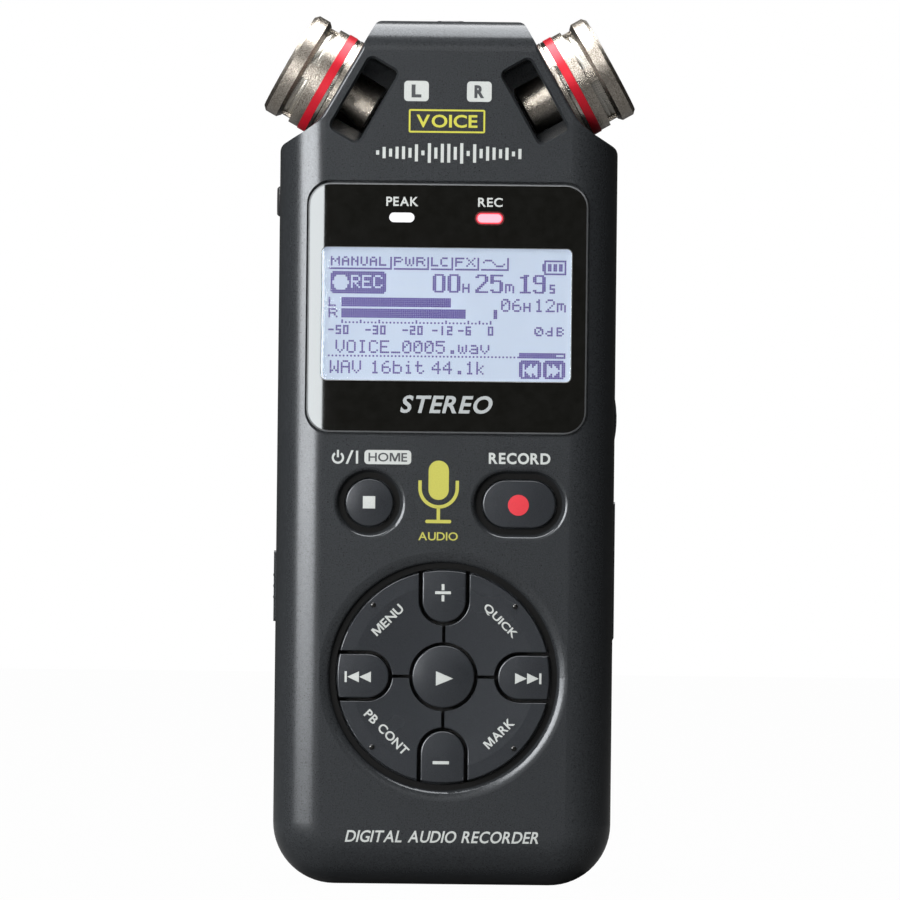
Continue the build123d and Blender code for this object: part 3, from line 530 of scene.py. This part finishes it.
# ================================================================ display
TALL = {
    "0": ".###. #..## #.#.# ##..# #...# #...# .###.",
    "1": "..#.. .##.. ..#.. ..#.. ..#.. ..#.. .###.",
    "2": ".###. #...# ....# ...#. ..#.. .#... #####",
    "4": "...#. ..##. .#.#. #..#. ##### ...#. ...#.",
    "5": "##### #.... ####. ....# ....# #...# .###.",
    "6": "..##. .#... #.... ####. #...# #...# .###.",
    "A": ".###. #...# #...# ##### #...# #...# #...#",
    "C": ".###. #...# #.... #.... #.... #...# .###.",
    "E": "##### #.... #.... ####. #.... #.... #####",
    "I": ".###. ..#.. ..#.. ..#.. ..#.. ..#.. .###.",
    "O": ".###. #...# #...# #...# #...# #...# .###.",
    "R": "####. #...# #...# ####. #.#.. #..#. #...#",
    "V": "#...# #...# #...# #...# #...# .#.#. ..#..",
    "W": "#...# #...# #...# #.#.# #.#.# ##.## #...#",
    "H": "..... ..... #..#. #..#. ####. #..#. #..#.",
    "M": "..... ..... ####. #.#.# #.#.# #.#.# #...#",
    "a": "..... ..... .###. ....# .#### #...# .####",
    "b": "#.... #.... ####. #...# #...# #...# ####.",
    "i": "..#.. ..... .##.. ..#.. ..#.. ..#.. .###.",
    "k": "#.... #.... #..#. #.#.. ##... #.#.. #..#.",
    "t": ".#... .#... ####. .#... .#... .#..# ..##.",
    "v": "..... ..... #...# #...# #...# .#.#. ..#..",
    "w": "..... ..... #...# #.#.# #.#.# #.#.# .#.#.",
    ".": "..... ..... ..... ..... ..... ..##. ..##.",
    "_": "..... ..... ..... ..... ..... ..... #####",
}
LOW = {
    "A": ".##. #..# #### #..# #..#",
    "C": ".###. #.... #.... #.... .###.",
    "F": "##### #.... ####. #.... #....",
    "L": "#... #... #... #... ####",
    "M": "#...# ##.## #.#.# #...# #...#",
    "N": "#..# ##.# #.## #..# #..#",
    "P": "####. #...# ####. #.... #....",
    "R": "####. #...# ####. #..#. #...#",
    "U": "#..# #..# #..# #..# .##.",
    "W": "#...# #.#.# #.#.# #.#.# .#.#.",
    "X": "#...# .#.#. ..#.. .#.#. #...#",
    "d": "...#. ...#. .###. #..#. .###.",
    "B": "###.. #..#. ###.. #..#. ###..",
    "O": ".###. #..## #.#.# ##..# .###.",
    "0": "### #.# #.# #.# ###",
    "1": ".#. .#. .#. .#. .#.",
    "2": "### ..# ### #.. ###",
    "3": "### ..# ### ..# ###",
    "5": "### #.. ### ..# ###",
    "6": "### #.. ### #.# ###",
    "-": "... ... ### ... ...",
}
BIG = {
    "0": ".#####. ##...## ##...## ##...## ##...## ##...## ##...## ##...## ##...## .#####.",
    "1": "..###.. ####... ..##... ..##... ..##... ..##... ..##... ..##... ..##... ######.",
    "2": ".#####. ##...## .....## .....## ....##. ...##.. ..##... .##.... ##..... #######",
    "5": "####### ##..... ##..... ######. ##...## .....## .....## .....## ##...## .#####.",
    "9": ".#####. ##...## ##...## ##...## .###### .....## .....## .....## ##...## .#####.",
}
SKIP_BACK = "#...#..# #..##.## #.###### ######## #.###### #..##.## #...#..#"
SKIP_ON = " ".join(line[::-1] for line in SKIP_BACK.split())


class Dots:
    """A picture of dots, 128 wide and 64 high."""

    def __init__(self):
        self.on = set()

    def stamp(self, art, column, row, put=True):
        """Draws rows of # and dots with its top left at a column and row."""
        for y, line in enumerate(art.split()):
            for x, mark in enumerate(line):
                if mark == "#":
                    (self.on.add if put else self.on.discard)((column + x, row + y))

    def write(self, words, font, column, row, put=True):
        """Writes words in a font, one empty column between letters."""
        for letter in words:
            self.stamp(font[letter], column, row, put)
            column += len(font[letter].split()[0]) + 1

    def block(self, columns, rows):
        """Fills a rectangle, ends included."""
        for x in range(columns[0], columns[1] + 1):
            for y in range(rows[0], rows[1] + 1):
                self.on.add((x, y))

    def badge(self, columns, rows):
        """Fills a rectangle with its corner dots left off."""
        self.block(columns, rows)
        for x in columns:
            for y in rows:
                self.on.discard((x, y))


def draw_tabs(dots):
    """Row of mode tabs and the battery mark."""
    tabs = (("MANUAL", 0, 33), ("PWR", 35, 53), ("LC", 55, 66), ("FX", 68, 80), ("", 82, 96))
    for words, start, end in tabs:
        dots.write(words, LOW, start + (words == "MANUAL"), 0)
        dots.block((start, end), (6, 6))
        dots.block((end, end), (0, 6))
    for column in range(83, 95):
        dots.on.add((column, round(2.5 - 2 * math.sin((column - 83) * math.tau / 11))))
    dots.block((116, 127), (1, 8))
    for column in range(117, 127):
        for row in range(2, 8):
            dots.on.discard((column, row))
    dots.block((115, 115), (3, 6))
    for column in (118, 121, 124):
        dots.block((column, column + 1), (3, 6))


def draw_record_badge(dots):
    """Inverted badge with a dot and a word."""
    dots.badge((1, 30), (8, 19))
    for column in range(2, 11):
        for row in range(9, 19):
            if math.hypot(column - 6, row - 13.5) < 4.2:
                dots.on.discard((column, row))
    dots.write("REC", TALL, 12, 10, put=False)


def draw_times(dots):
    """Elapsed time in tall figures and remaining time in small ones."""
    for figure, column in (("0", 56), ("0", 64), ("2", 79), ("5", 87), ("1", 103), ("9", 110)):
        dots.stamp(BIG[figure], column, 9)
    dots.stamp(TALL["H"], 72, 12)
    dots.stamp(TALL["M"], 95, 12)
    dots.stamp(LOW["5"], 119, 14)
    dots.write("06H12M", TALL, 93, 22)


def draw_levels(dots):
    """Level bars, peak mark and scale."""
    dots.write("L", LOW, 0, 22)
    dots.write("R", LOW, 0, 28)
    dots.block((7, 65), (22, 26))
    dots.block((7, 73), (28, 32))
    dots.block((89, 90), (28, 32))
    for column in range(7, 88, 2):
        dots.on.add((column, 35))
    for column in (7, 17, 27, 47, 63, 75, 81, 87):
        dots.block((column, column), (34, 35))
    marks = (("-50", 0), ("-30", 20), ("-20", 40), ("-12", 56), ("-6", 70), ("0", 86))
    for words, column in marks:
        dots.write(words, LOW, column, 37)
    dots.write("OdB", LOW, 111, 37)


def draw_file_rows(dots):
    """File name, dotted rule, progress bar, format and two inverted marks."""
    dots.write("VOICE_0005.wav", TALL, 4, 45)
    for column in range(0, 104, 2):
        dots.on.add((column, 53))
    dots.block((103, 127), (51, 53))
    for column in range(123, 127):
        dots.on.discard((column, 52))
    dots.write("WAV", TALL, 1, 56)
    dots.write("16bit", TALL, 23, 56)
    dots.write("44.1k", TALL, 56, 56)
    for start, art in ((103, SKIP_BACK), (116, SKIP_ON)):
        dots.badge((start, start + 11), (55, 64))
        dots.stamp(art, start + 2, 57, put=False)


def display_dots(material):
    """The display's picture as thin tiles on the cell's front."""
    dots = Dots()
    for draw in (draw_tabs, draw_record_badge, draw_times, draw_levels, draw_file_rows):
        draw(dots)
    left, top = LCD_LEFT + LCD_MARGIN_LEFT, LCD_HIGH - LCD_MARGIN_TOP
    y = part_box("lcd_glass")[0].y - 0.01 * MM
    side = DOT_PITCH - DOT_GAP
    bm = bmesh.new()
    for column, row in sorted(dots.on):
        x, z = left + column * DOT_PITCH, top - row * DOT_PITCH
        corners = [(x, z), (x + side, z), (x + side, z - side), (x, z - side)]
        bm.faces.new([bm.verts.new((cx * MM, y, cz * MM)) for cx, cz in corners])
    bmesh.ops.recalc_face_normals(bm, faces=bm.faces)
    return new_piece("display_dots", mesh_from(bm, "display_dots"), material)


def paint_bevel_highlight(piece, material, y_front, bevel):
    """Gives the bevelled outer edge of a plate a lighter material of its own: a painted highlight line round
    the plate.
    """
    piece.data.materials.append(material)
    for face in piece.data.polygons:
        if y_front + 0.02 < face.center.y / MM < y_front + bevel - 0.02:
            face.material_index = 1


def display_panel(gloss, clear, edge):
    """Gloss black panel with a clear pane over the display, in place of the CAD panel."""
    low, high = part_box("display_window")
    y_front, y_back = low.y / MM, high.y / MM
    outer = ((0, PANEL_MIDDLE), PANEL_SIZE, PANEL_RADIUS)
    middle = ((LCD_LEFT + LCD_RIGHT) / 2, (LCD_LOW + LCD_HIGH) / 2)
    size = (LCD_RIGHT - LCD_LEFT, LCD_HIGH - LCD_LOW)
    plate = frame_plate("panel", outer, (middle, size, 0.8), y_front, y_back, PANEL_BEVEL, gloss)
    pane_size = (size[0] - 0.02, size[1] - 0.02)
    pane = frame_plate("panel_pane", (middle, pane_size, 0.8), None, y_front + 0.06, y_back, 0.02, clear)
    # painted highlight: the panel's front bevel is light grey, not black
    paint_bevel_highlight(plate, edge, y_front, PANEL_BEVEL)
    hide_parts("display_window")
    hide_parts("display_window")


# ================================================================ microphones
def mic_point(along, angle, radius, side):
    """A point about a microphone's axis, side -1 for the left one."""
    c, s = math.cos(TILT), math.sin(TILT)
    up = MIC_OFFSET + radius * math.cos(angle)
    x, z = s * up - c * along, c * up + s * along
    y = MIC_Y + radius * math.sin(angle)
    return Vector((-side * x * MM, y * MM, z * MM))


def strand(bm, points, normals):
    """A flat wire through points, each with its own outward normal."""
    corners = ((-1, -1), (1, -1), (1, 1), (-1, 1))
    rings = []
    for index, point in enumerate(points):
        before = points[max(index - 1, 0)]
        after = points[min(index + 1, len(points) - 1)]
        along = (after - before).normalized()
        out = normals[index]
        across = along.cross(out).normalized() * (WIRE_WIDTH * MM / 2)
        rise = out * (WIRE_THICK * MM / 2)
        rings.append([bm.verts.new(point + across * a + rise * b) for a, b in corners])
    for a, b in zip(rings, rings[1:]):
        bridge(bm, a, b)
    bm.faces.new(rings[0][::-1])
    bm.faces.new(rings[-1])


def woven_wall(bm, side):
    """Diagonal weave round the basket's wall."""
    steps = 6
    height = BASKET_END - BASKET_START
    sweep = height / BASKET_R
    for index in range(BASKET_STRANDS):
        for lean in (-1, 1):
            points, normals = [], []
            for step in range(steps + 1):
                share = step / steps
                angle = math.tau * index / BASKET_STRANDS + lean * sweep * share
                weave = WALL_WEAVE * math.cos(math.pi * (8 * share + (1 if lean > 0 else 0)))
                along = BASKET_START + height * share
                points.append(mic_point(along, angle, BASKET_R + weave, side))
                hub = mic_point(along, angle, 0, side)
                normals.append((points[-1] - hub).normalized())
            strand(bm, points, normals)


def woven_disc(bm, side):
    """Square weave over the basket's end."""
    half = int(DISC_R / DISC_PITCH)
    axis = (mic_point(DISC_PLACE + 1, 0, 0, side) - mic_point(DISC_PLACE, 0, 0, side)).normalized()
    for turn in (0, 1):
        for line in range(-half, half + 1):
            offset = line * DISC_PITCH
            reach = math.sqrt(max(DISC_R**2 - offset**2, 0.01))
            steps = max(int(2 * reach / DISC_PITCH), 2)
            points = []
            for step in range(steps + 1):
                run = -reach + 2 * reach * step / steps
                a, b = (run, offset) if turn else (offset, run)
                phase = round(run / DISC_PITCH) + line + turn
                lift = DISC_WEAVE if phase % 2 else -DISC_WEAVE
                points.append(mic_point(DISC_PLACE + lift, math.atan2(b, a), math.hypot(a, b), side))
            strand(bm, points, [axis] * len(points))


def basket(name, side, material):
    """Woven basket of one microphone in place of its CAD solid."""
    bm = bmesh.new()
    woven_wall(bm, side)
    woven_disc(bm, side)
    bmesh.ops.recalc_face_normals(bm, faces=bm.faces)
    piece = new_piece(name, mesh_from(bm, name), material)
    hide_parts("left_mic_mesh" if side < 0 else "right_mic_mesh")


def foam_liner(name, side, material):
    """Dark foam cup behind the weave."""
    bm = bmesh.new()
    steps = 48
    angles = [math.tau * i / steps for i in range(steps)]
    loops = []
    for along, radius in LINER_PROFILE:
        loops.append([bm.verts.new(mic_point(along, angle, radius, side)) for angle in angles])
    for a, b in zip(loops, loops[1:]):
        bridge(bm, a, b)
    bm.faces.new(loops[0])
    bm.faces.new(loops[-1])
    bmesh.ops.recalc_face_normals(bm, faces=bm.faces)
    return new_piece(name, mesh_from(bm, name), material)


# ================================================================ print
def print_face(white, dark, yellow, gold):
    """Everything printed on the front."""
    bars = []
    for index in range(23):
        x = -11.6 + index * 1.05
        height = 0.7 + 3.1 * abs(math.sin(1.35 * index)) * (1 - 0.75 * abs(index - 11) / 12)
        bars.append(bar((x, 119.0), 0.5, height))
    shapes("wave_mark", bars, white)
    shapes("tag_frame", frame_band(TAG, (12.4, 3.8), 0.3, 0.28), yellow)
    lettering("tag_words", "VOICE", TAG, (9.9, 2.1), yellow, bold=0.02)
    for words, x in (("L", -5.4), ("R", 4.8)):
        shapes(f"badge_{words}", [rounded((x, BADGE_Z), (4.0, 3.3), 0.6)], white)
        lettering(f"badge_letter_{words}", words, (x, BADGE_Z), (1.6, 2.1), dark, bold=0.05, lift=0.02)
    lettering("record_words", "RECORD", (12.0, KEY_WORDS_Z), (10.0, 1.85), white, bold=0.03)
    shapes("home_badge", [rounded((HOME_X, KEY_WORDS_Z), (7.6, 2.3), 0.6)], white)
    lettering("home_words", "HOME", (HOME_X, KEY_WORDS_Z), (6.3, 1.45), dark, bold=0.015, lift=0.02)
    power = [arc_band((-17.5, 69.4), 0.66, 1.0, 125, 415), bar((-17.5, 70.05), 0.34, 1.2)]
    slash = [(-16.25, 68.4), (-15.87, 68.4), (-14.97, 70.6), (-15.35, 70.6)]
    shapes("power_mark", power + [slash, bar((-14.4, 69.5), 0.36, 2.1)], white)
    lettering("foot_words", "DIGITAL AUDIO RECORDER", (0, 8.0), (31.4, 1.95), white, bold=0.015, slant=0.25)
    mic = [rounded((EMBLEM_X, 65.9), (3.3, 6.4), 1.64), arc_band((EMBLEM_X, 64.6), 2.75, 3.3, 180, 360)]
    mic += [bar((EMBLEM_X, 60.4), 0.55, 2.2), rounded((EMBLEM_X, 59.2), (4.2, 0.55), 0.25)]
    mic += [bar((-4.12, 65.2), 0.55, 1.3), bar((1.92, 65.2), 0.55, 1.3)]
    shapes("mic_mark", mic, gold)
    lettering("mic_words", "AUDIO", (EMBLEM_X, 56.8), (6.4, 1.35), gold, bold=0.01)


def print_panel(white, silver, unlit_lamp_glow, lamp_on, glow, painted_glow):
    """Words and lamps on the panel."""
    settings = {"node": "display_window", "slot": "window_black"}
    lettering("peak_words", "PEAK", (-7.5, LAMP_WORDS_Z), (5.2, 1.5), white, bold=0.02, **settings)
    lettering("rec_words", "REC", (6.8, LAMP_WORDS_Z), (4.0, 1.5), white, bold=0.02, **settings)
    lettering("panel_words", "STEREO", (0, 78.2), (15.0, 2.9), silver, bold=0.025, slant=0.25, **settings)
    # painted light: the unlit peak lamp glows a little on its pale window
    shapes("peak_lamp", [rounded((LED_X[0], LED_Z), (4.1, 1.57), 0.78)], unlit_lamp_glow, **settings)
    # painted light: faint red glow of the lit lamp on the panel round it
    shapes("rec_lamp_halo", [rounded((LED_X[1], LED_Z), (4.8, 2.2), 1.09)], painted_glow, **settings)
    shapes("rec_lamp_rim", [rounded((LED_X[1], LED_Z), (4.3, 1.74), 0.86)], glow, lift=0.015, **settings)
    shapes("rec_lamp", [rounded((LED_X[1], LED_Z), (3.9, 1.36), 0.67)], lamp_on, lift=0.026, **settings)


def skip_mark(centre, flip):
    """Outlines of a skip mark: a bar and two triangles."""
    x, z = centre
    parts = [bar((x - flip * 1.95, z), 0.35, 1.75)]
    for shift in (-1.7, 0.25):
        tip, base = x + flip * shift, x + flip * (shift + 1.9)
        parts.append([(tip, z), (base, z - 0.88), (base, z + 0.88)])
    return parts


def pip(name, place, key, material):
    """Small glossy locating dome on a dial key."""
    top = surface_point(key, place)
    bm = bmesh.new()
    bmesh.ops.create_uvsphere(bm, u_segments=24, v_segments=12, radius=0.42 * MM)
    for vertex in bm.verts:
        vertex.co.y *= 0.5
        vertex.co += top
    for face in bm.faces:
        face.smooth = True
    return new_piece(name, mesh_from(bm, name), material, key)


def print_keys(white, red, pips):
    """Marks and words on the keys."""
    def on(name, key, outlines, ink_colour=white):
        shapes(name, outlines, ink_colour, node=key, body=key, slot="key_plastic")

    on("stop_mark", "stop_home_key", [bar((-12.37, 62.2), 2.0, 2.0)])
    on("record_mark", "record_key", [circle((11.88, 61.98), 1.7)], red)
    on("plus_mark", "plus_key", [bar((-0.2, 47.65), 2.55, 0.45), bar((-0.2, 48.55), 0.45, 1.0),
                                bar((-0.2, 46.75), 0.45, 1.0)])
    on("minus_mark", "minus_key", [bar((-0.25, 20.05), 2.65, 0.5)])
    on("play_mark", "play_key", [[(-1.2, 32.55), (1.6, 33.72), (-1.2, 34.9)]])
    on("back_mark", "back_key", skip_mark((-13.9, 33.85), 1))
    on("forward_mark", "forward_key", skip_mark((13.8, 33.85), -1))
    for words, key, angle, turn, width in (
        ("MENU", "menu_key", 135, 45, 6.2), ("QUICK", "quick_key", 45, -45, 7.0),
        ("PB CONT", "playback_control_key", 225, -45, 9.3), ("MARK", "mark_key", 315, 45, 5.9),
    ):
        reach = math.radians(angle)
        along = Vector((math.cos(reach), math.sin(reach)))
        centre = tuple(Vector(DIAL) + DIAL_WORDS_R * along)
        lettering(f"{key}_words", words, centre, (width, 1.5), white, node=key, turn=turn, bold=0.02,
                  body=key, slot="key_plastic")
        pip(f"{key}_pip", Vector(DIAL) + DIAL_PIP_R * along, key, pips)


def print_sides(white):
    """Plain words by the sockets and the slider, and an arrow on the battery cover."""
    lettering("phones_words", "PHONES", (1.7, 117.0), (6.0, 1.1), white, face="left")
    lettering("hold_words", "HOLD", (2.9, 57.0), (3.8, 1.1), white, face="left")
    arrow = [bar((2.9, 38.8), 0.3, 2.0), [(2.2, 39.6), (3.6, 39.6), (2.9, 40.7)]]
    shapes("hold_arrow", arrow, white, face="left")
    lettering("usb_words", "USB", (-2.9, 83.3), (3.0, 1.1), white, face="right")
    lettering("ext_words", "MIC IN", (0, -6.3), (4.6, 1.0), white, face="top")
    arrow = [bar((0, 49.0), 1.0, 2.4), [(-1.3, 48.0), (1.3, 48.0), (0, 45.8)]]
    cover = {"node": "battery_cover", "face": "back", "body": "battery_cover", "slot": "rear_plastic"}
    shapes("cover_arrow", arrow, white, **cover)
    lettering("cover_words", "OPEN", (0, 43.6), (4.4, 1.3), white, **cover)


# ================================================================ dressing the CAD nodes
def paint_well_shade(black):
    """Near-black on the floors and hole walls round the keys of the front case: painted shade of the wells
    over the black key mat.
    """
    mesh = NODES["front_case"].data
    mesh.materials.append(black)
    for face in mesh.polygons:
        x, y, z = (c / MM for c in face.center)
        deep = y > WELL_FLOOR - 0.02
        if deep and math.hypot(x - DIAL[0], z - DIAL[1]) < DIAL_FLOOR_R:
            face.material_index = 1
        elif deep and KEY_WELLS_LOW < z < KEY_WELLS_HIGH and abs(x) < KEY_WELLS_X:
            face.material_index = 1


def dress():
    """Gives every CAD node its material, and hands back the materials by slot."""
    mats = {
        "front_paint": case_paint(), "rear_plastic": rear_plastic(), "window_black": black_gloss(),
        "lcd_glass": glowing("display_light", (0.3, 0.34, 0.4), (0.4, 0.48, 0.6), 0.7),
        "light_box": moulded("light_box", (0.8, 0.8, 0.82), 0.4),
        "flex": moulded("flex", (0.5, 0.25, 0.05), 0.35),
        "light_guide": moulded("light_guide", (0.7, 0.7, 0.7), 0.15),
        "key_plastic": key_plastic(), "rubber": rubber(), "circuit_board": board_green(),
        "component_black": moulded("component_black", (0.02, 0.02, 0.02), 0.45), "steel": steel(),
        "nickel": nickel(), "red_anodised": red_anodised(), "mesh": wire(),
        "capsule": moulded("capsule", (0.4, 0.4, 0.4), 0.4),
        "jack_black": moulded("jack_black", (0.015, 0.015, 0.016), 0.25),
        "speaker_cone": moulded("speaker_cone", (0.03, 0.03, 0.033), 0.6), "brass": brass(),
        "cell": cell_wrap(),
    }
    slots = {row["node"]: row["material_slot"] for row in frame["record"]["subparts"]}
    for name, node in NODES.items():
        node.data.materials.clear()
        node.data.materials.append(mats[slots[name]])
    # painted shade: near-black well floors and hole walls round the keys
    paint_well_shade(well_shade_black())
    fine = turned_nickel()
    for side in ("left", "right"):
        NODES[f"{side}_mic_trim_ring"].data.materials[0] = fine
    return mats


# ================================================================ stage
def area_light(name, place, aim, size, power, colour=(1, 1, 1)):
    """A soft rectangular light aimed at a place, not seen by the camera."""
    data = bpy.data.lights.new(name, "AREA")
    data.shape = "RECTANGLE"
    data.size, data.size_y = size
    data.energy = power
    data.color = colour
    lamp = bpy.data.objects.new(name, data)
    bpy.context.scene.collection.objects.link(lamp)
    lamp.location = place
    lamp.rotation_euler = (Vector(aim) - Vector(place)).to_track_quat("-Z", "Y").to_euler()
    lamp.visible_camera = False
    return lamp


def floor_paint():
    """Pale floor that stays white to the horizon and takes only a faint shadow."""
    mat, bsdf = shader("floor", (0.1, 0.1, 0.1), 0.8, specular=0.0)
    tint(mat, bsdf, spread(mat, noise(mat, 300.0), 0, 1), (0.095, 0.095, 0.095), (0.105, 0.105, 0.105))
    nodes, links = mat.node_tree.nodes, mat.node_tree.links
    glow = nodes.new("ShaderNodeEmission")
    glow.inputs["Color"].default_value = (1, 1, 1, 1)
    path = nodes.new("ShaderNodeLightPath")
    share = nodes.new("ShaderNodeMath")
    share.operation = "MULTIPLY"
    share.inputs[1].default_value = 0.985
    links.new(path.outputs["Is Camera Ray"], share.inputs[0])
    mix = nodes.new("ShaderNodeMixShader")
    links.new(share.outputs[0], mix.inputs[0])
    links.new(bsdf.outputs[0], mix.inputs[1])
    links.new(glow.outputs[0], mix.inputs[2])
    links.new(mix.outputs[0], nodes["Material Output"].inputs["Surface"])
    return mat


def studio():
    """Pale floor, white surround and soft lights."""
    world = bpy.data.worlds.new("studio")
    bpy.context.scene.world = world
    world.use_nodes = True
    nodes, links = world.node_tree.nodes, world.node_tree.links
    back = nodes["Background"]
    back.inputs["Color"].default_value = (0.5, 0.47, 0.42, 1)
    back.inputs["Strength"].default_value = 0.06
    white = nodes.new("ShaderNodeBackground")
    white.inputs["Color"].default_value = (1, 1, 1, 1)
    white.inputs["Strength"].default_value = 1.0
    path = nodes.new("ShaderNodeLightPath")
    mix = nodes.new("ShaderNodeMixShader")
    links.new(path.outputs["Is Camera Ray"], mix.inputs[0])
    links.new(back.outputs[0], mix.inputs[1])
    links.new(white.outputs[0], mix.inputs[2])
    links.new(mix.outputs[0], nodes["World Output"].inputs["Surface"])
    bm = bmesh.new()
    bmesh.ops.create_grid(bm, x_segments=2, y_segments=2, size=1.5)
    floor = bpy.data.objects.new("floor", mesh_from(bm, "floor"))
    bpy.context.scene.collection.objects.link(floor)
    floor.data.materials.append(floor_paint())
    middle = (0, 0, 0.08)
    area_light("left_box", (-0.39, -0.43, 0.2), middle, (0.48, 0.34), 8.5)
    area_light("top_box", (-0.03, 0.0, 0.62), middle, (0.6, 0.64), 12.0)
    strip_x, strip_z = -0.0457, 0.115
    area_light("lens_card", (strip_x, -1.5, strip_z), (strip_x, 0, strip_z), (0.012, 0.14), 0.1,
               (0.93, 0.98, 1))
    area_light("front_box", (0.0, -1.1, 0.42), middle, (0.9, 0.3), 0.7)


def camera():
    """Straight on, from far away, rolled so that the object leans a little to the right."""
    data = bpy.data.cameras.new("camera")
    cam = bpy.data.objects.new("camera", data)
    bpy.context.scene.collection.objects.link(cam)
    distance = 1.6
    view_width = 0.1461       # at the face of the recorder, in metres
    lean = math.radians(-0.634)
    data.sensor_width = 36.0
    data.lens = data.sensor_width * (distance + FACE_Y * MM) / view_width
    cam.location = (0.00068, -distance, 0.07083)
    cam.rotation_euler = (math.radians(90), lean, 0)
    data.clip_start, data.clip_end = 0.05, 20
    bpy.context.scene.camera = cam


# ================================================================ the whole scene
bpy.context.scene.view_settings.view_transform = "Standard"
camera()
studio()
materials = dress()
white_ink = ink("white_ink", (0.33, 0.345, 0.335))
dark_ink = ink("dark_ink", (0.03, 0.032, 0.036))
yellow_ink = ink("yellow_ink", (0.34, 0.33, 0.035))
gold_ink = ink("gold_ink", (0.3, 0.29, 0.05))
red_ink = ink("red_ink", (0.42, 0.02, 0.03))
# the light grey of the panel's bevel is a painted highlight on the black panel
display_panel(materials["window_black"], clear_acrylic(), moulded("panel_bevel_highlight", (0.12, 0.125, 0.13), 0.3))
display_dots(glowing("display_violet", (0.04, 0.03, 0.12), (0.09, 0.065, 0.25), 0.8))
print_face(white_ink, dark_ink, yellow_ink, gold_ink)
print_panel(white_ink, ink("silver_ink", (0.24, 0.255, 0.26)),
            # painted glow of the unlit peak lamp
            glowing("unlit_lamp_glow", (0.35, 0.35, 0.36), (0.7, 0.7, 0.72), 0.45),
            glowing("lamp_on", (0.35, 0.12, 0.15), (1, 0.42, 0.5), 0.8),
            glowing("lamp_rim", (0.4, 0.02, 0.03), (0.9, 0.03, 0.06), 0.75),
            # painted red glow round the lit lamp
            glowing("lamp_halo", (0.02, 0.003, 0.003), (0.5, 0.01, 0.02), 0.16))
print_keys(white_ink, red_ink, materials["window_black"])
print_sides(white_ink)
foam = dark_foam()
for side, word in ((-1, "left"), (1, "right")):
    basket(f"{word}_weave", side, materials["mesh"])
    foam_liner(f"{word}_foam", side, foam)
